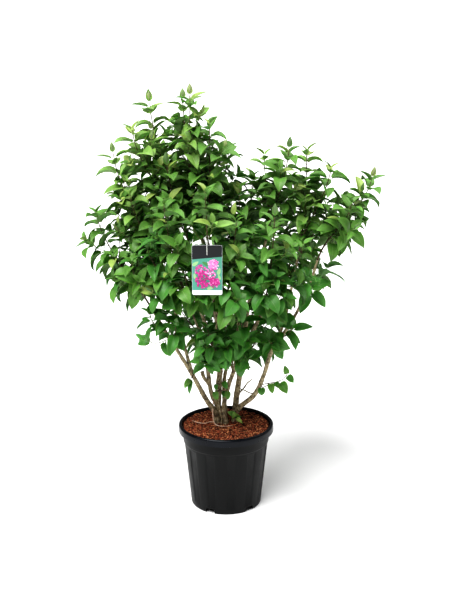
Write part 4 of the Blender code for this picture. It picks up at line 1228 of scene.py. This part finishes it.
def build_mulch():
    """A crumbly bed, then loose chips that lie on it every way round."""
    top = [(max(0.0001, BED_STEP * step), BED_TOP) for step in range(BED_STEPS + 1)]
    under = [(0.1575, 0.2850), (0.1560, 0.2830), (0.0001, 0.2830)]
    shape = turned(top + under, steps=120, merge=0.0004)
    for vert in shape.verts:
        if vert.co.z > 0.29:
            vert.co.z = soil_height(vert.co.x, vert.co.y)
    bed = mulch_material("pine bark fines", "#1c0d08", "#4c2416")
    add_piece("mulch_bed", shape, [bed], ["substrate"])
    chance = random.Random("mulch")
    chip = block((1, 1, 1))
    lengthwise = edges_along(chip, 0)
    round_edges(chip, [edge for edge in chip.edges if edge not in lengthwise], CHIP_EDGE, segments=1)
    template = to_mesh("chip", chip, smooth=False)
    for tint, (colours, share) in MULCH.items():
        pile = bmesh.new()
        for _ in range(round(CHIPS * share)):
            x, y = in_disc(CHIP_REACH, chance)
            long = chance.uniform(*CHIP_LENGTH) * (LONGER if chance.random() < LONG_SHARE else 1)
            size = (long, long * chance.uniform(*CHIP_BREADTH), chance.uniform(*CHIP_THICKNESS), 1)
            turn = Matrix.Rotation(chance.uniform(0, 2 * math.pi), 4, "Z")
            tilt = turn @ Matrix.Rotation(chance.gauss(0, CHIP_TILT), 4, "Y")
            tilt = tilt @ Matrix.Rotation(chance.gauss(0, CHIP_TILT), 4, "X")
            height = soil_height(x, y) + chance.uniform(0, CHIP_LIFT)
            mesh = template.copy()
            mesh.transform(Matrix.Translation((x, y, height)) @ tilt @ Matrix.Diagonal(size))
            merge_in(pile, mesh)
        made = mulch_material(f"bark chips, {tint}", *colours)
        add_piece(f"mulch_chips_{tint}", pile, [made], ["substrate"], smooth=False)


# ---------------------------------------------------------------- the tag

SLOT_WIDTH, SLOT_HEIGHT, SLOT_DROP = 0.0044, 0.022, 0.012
CORNER = 0.006
STRAP_RADIUS = 0.0012
HEAD_LEFT, HEAD_RIGHT = 0.048, 0.039  # the black head's depth at its two sides
STRIP = 0.016  # the bare strip along the foot
BORDER = 0.0008
PRINT = 0.00005  # one layer of ink, drawn thick enough to stand clear of the card
INK_BACK = 0.0002  # how far its back is sunk in the card
FLOWER_SIZE = (0.0024, 0.0036)

# The drawing's balls of small flowers: middle and radius on the card, number of flowers and their tint.
FLOWER_BALLS = (
    (0.020, -0.066, 0.019, 90, 2), (-0.020, -0.086, 0.020, 100, 1), (0.006, -0.098, 0.021, 110, 2),
    (-0.014, -0.120, 0.024, 150, 0), (0.024, -0.124, 0.018, 80, 1))
LEAF_MARKS = ((-0.038, -0.062, 35, 0.024), (0.039, -0.088, 75, 0.024), (-0.041, -0.104, 100, 0.020),
              (0.040, -0.108, 110, 0.018), (-0.006, -0.062, 150, 0.022), (0.010, -0.145, 10, 0.022))


def patch(pile, points, level, material):
    """One patch of ink: a flat shape that stands this far proud of the card and is sunk in behind."""
    face = pile.faces.new([pile.verts.new((x, -level, z)) for x, z in points])
    back = bmesh.ops.extrude_face_region(pile, geom=[face])["geom"]
    verts = [item for item in back if isinstance(item, bmesh.types.BMVert)]
    bmesh.ops.translate(pile, vec=(0, level + INK_BACK, 0), verts=verts)
    for item in {near for vert in [*verts, *face.verts] for near in vert.link_faces}:
        item.material_index = material


def flower_outline(x, z, size, turn):
    """Four round petals."""
    points = []
    for number in range(20):
        angle = 2 * math.pi * number / 20
        radius = size * (0.34 + 0.66 * abs(math.cos(2 * angle))**0.6)
        points.append((x + radius * math.cos(angle + turn), z + radius * math.sin(angle + turn)))
    return points


def leaf_outline(x, z, turn, size):
    points = []
    for number in range(18):
        angle = 2 * math.pi * number / 18
        along = size / 2 * math.cos(angle)
        across = size * 0.24 * math.sin(angle) * (1 - 0.35 * math.cos(angle))
        points.append((x + along * math.cos(turn) - across * math.sin(turn),
                       z + along * math.sin(turn) + across * math.cos(turn)))
    return points


def build_print(chance):
    """A generic drawing in such tags' colours: a black head, then balls of pink flowers over green."""
    pile = bmesh.new()
    half, top, inset = TAG_WIDTH / 2 - BORDER, -BORDER, 0.004
    head = [(-half, -HEAD_LEFT), (half, -HEAD_RIGHT), (half, top - inset), (half - inset, top),
            (-half + inset, top), (-half, top - inset)]
    patch(pile, head, 2 * PRINT, 0)
    foot = STRIP - TAG_HEIGHT
    ground = [(-half, foot), (half, foot), (half, -HEAD_RIGHT), (-half, -HEAD_LEFT)]
    patch(pile, ground, PRINT, 1)
    level = 2 * PRINT
    for x, z, turn, size in LEAF_MARKS:
        patch(pile, leaf_outline(x, z, math.radians(turn), size), level, chance.choice((2, 2, 3)))
        level += PRINT / 4
    for x, z, radius, _, tint in FLOWER_BALLS:
        patch(pile, flower_outline(x, z, radius, 0.4 + 9 * x), level, FIRST_PINK + tint)
        level += PRINT / 4
    for x, z, radius, count, tint in FLOWER_BALLS:
        for _ in range(count):
            across, up = in_disc(radius, chance)
            size = chance.uniform(*FLOWER_SIZE)
            shade = FIRST_PINK + max(0, min(3, tint + chance.choice((-1, -1, 0, 1))))
            patch(pile, flower_outline(x + across, z + up, size, chance.uniform(0, 2)), level, shade)
            level += PRINT / 8
    bmesh.ops.recalc_face_normals(pile, faces=pile.faces)
    return pile


def print_material(name, colour):
    """Gloss ink on plastic, laid on by offset so that it is a little uneven."""
    made, tree, shader = new_material(name, roughness=0.30, ior=1.5)
    paint(tree, shader, uneven(tree, colour, scale=700.0, detail=1.0, dark=0.90, pale=1.08))
    return made


INKS = {"ink black": "#14171c", "ink teal": "#58a08c", "ink leaf green": "#4c8a52",
        "ink pale green": "#9cc48f", "ink magenta": "#c42a8c", "ink rose": "#d84fa6",
        "ink pink": "#e58ac6", "ink pale pink": "#f0bfe0"}
FIRST_PINK = 4  # the inks from there on are pinks, from dark to pale


def slot_cutter(x, y):
    """A block that cuts the strap's slot through card and print."""
    shape = block((SLOT_WIDTH, 0.02, SLOT_HEIGHT))
    bmesh.ops.translate(shape, vec=(x, y, TAG_TOP - SLOT_DROP - SLOT_HEIGHT / 2), verts=shape.verts)
    return shape


def build_tag(twig):
    """A printed card that hangs by its strap from a leading twig."""
    low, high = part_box("tag")
    middle, front = (low.x + high.x) / 2, low.y
    shape = block((TAG_WIDTH, TAG_THICKNESS, TAG_HEIGHT))
    round_edges(shape, edges_along(shape, 1), CORNER, segments=6)
    bmesh.ops.translate(shape, vec=(middle, front + TAG_THICKNESS / 2, TAG_TOP - TAG_HEIGHT / 2),
                        verts=shape.verts)
    white = print_material("white polystyrene card", "#e4e4ea")
    card = add_piece("tag_card", shape, [white], ["tag"], smooth=False)
    cut(card, slot_cutter(middle, front))
    pile = build_print(random.Random("print"))
    bmesh.ops.translate(pile, vec=(middle, front, TAG_TOP), verts=pile.verts)
    inks = [print_material(name, colour) for name, colour in INKS.items()]
    ink = add_piece("tag_print", pile, inks, ["tag"], smooth=False)
    cut(ink, slot_cutter(middle, front))
    places = even_path(twig.path, step=0.002)
    round_twig = next(place for place in places if place.z > HANGS_FROM)
    back = front + TAG_THICKNESS
    drop, side = SLOT_DROP + SLOT_HEIGHT - STRAP_RADIUS - 0.0003, 0.0055
    loop = [(0, front + 0.0005, -drop), (0, front - 0.0017, -drop + 0.006), (0, front - 0.0017, -0.003),
            (side / 2, front + 0.005, 0.009), (side, round_twig.y - 0.002, 0.0215),
            (0, round_twig.y + 0.0045, 0.0250), (-side, round_twig.y - 0.002, 0.0215),
            (-side / 2, back + 0.006, 0.009), (0, back + 0.0017, -0.004),
            (0, back + 0.0017, -drop + 0.006)]
    path = [Vector((middle + x, y, TAG_TOP + z)) for x, y, z in loop]
    fine = smooth_path([path[-1], *path, path[0], path[1]], 6)[6:-6]
    fine = [*fine[:-1], fine[0]]
    strap = tubes("tag_strap", [(fine, [STRAP_RADIUS] * len(fine))], sides=10)
    plastic, _, _ = new_material("pale strap plastic", roughness=0.35, ior=1.5,
                                 base_color=linear("#e8e8e4"))
    add_piece("tag_strap", strap, [plastic], ["tag"])


# ---------------------------------------------------------------- studio

SURROUND = 0.18  # strength of the even light from all round
BACKDROP = "#f4f4f4"
# Soft lamps: name, the way the light goes, its spread in degrees and its strength.
LIGHTS = (("key", (0.34, 0.48, -0.95), 42, 3.5), ("top", (-0.15, -0.32, -1.0), 60, 1.3))


def build_studio():
    floor_shape = bmesh.new()
    bmesh.ops.create_circle(floor_shape, cap_ends=True, segments=64, radius=30)
    floor = linked("floor", to_mesh("floor", floor_shape, smooth=False))
    pale, _, _ = new_material("pale floor", roughness=0.9, base_color=linear("#ececec"))
    floor.data.materials.append(pale)
    world = bpy.data.worlds.new("studio")
    bpy.context.scene.world = world
    world.use_nodes = True
    tree = world.node_tree
    surround = tree.nodes["Background"]
    surround.inputs["Color"].default_value = (1, 1, 1, 1)
    surround.inputs["Strength"].default_value = SURROUND
    backdrop = add_node(tree, "ShaderNodeBackground", {"Color": linear(BACKDROP), "Strength": 1.0})
    seen = add_node(tree, "ShaderNodeLightPath").outputs["Is Camera Ray"]
    shaders = {0: seen, 1: surround.outputs[0], 2: backdrop.outputs[0]}
    mix = add_node(tree, "ShaderNodeMixShader", shaders)
    tree.links.new(mix.outputs[0], tree.nodes["World Output"].inputs["Surface"])
    for name, way, spread, power in LIGHTS:
        data = bpy.data.lights.new(name, "SUN")
        data.angle = math.radians(spread)
        data.energy = power
        light = linked(name, data)
        light.rotation_euler = Vector(way).to_track_quat("-Z", "Y").to_euler()
    bpy.context.scene.view_settings.view_transform = "Standard"
    bpy.context.scene.view_settings.look = "High Contrast"


CAMERA_PLACE = (0.0437, -3.42, 1.70)
LOOKS_DOWN = 14.77  # degrees
LENS, SENSOR = 57.72, 36  # millimetres


def build_camera():
    data = bpy.data.cameras.new("camera")
    data.sensor_width = SENSOR
    data.lens = LENS
    camera = linked("camera", data)
    camera.location = CAMERA_PLACE
    camera.rotation_euler = (math.radians(90 - LOOKS_DOWN), 0, 0)
    bpy.context.scene.camera = camera


# ---------------------------------------------------------------- everything

build_camera()
build_studio()
cut_notches(build_pot())
build_mulch()
bark = bark_material()
build_limbs(bark)
root = root_material()
build_thin_stems(bark, root)
build_surface_root(root)
build_tag(leader_twigs(HANGS_ON)[0])
space = Space()
for limb_name, limb in LIMBS.items():
    space.add(*rod(even_path(limb_path(limb_name), step=0.03), limb.radii[0] * 0.8), limb_name)
tag_low, tag_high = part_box("tag")
space.add(*box_of((tag_low.x - TAG_MARGIN, tag_low.y - TAG_CLEAR, TAG_TOP - TAG_HEIGHT - TAG_MARGIN),
                  (tag_high.x + TAG_MARGIN, tag_low.y + TAG_BEHIND, TAG_TOP + TAG_HEADROOM)),
          "tag room")
build_foliage(space)
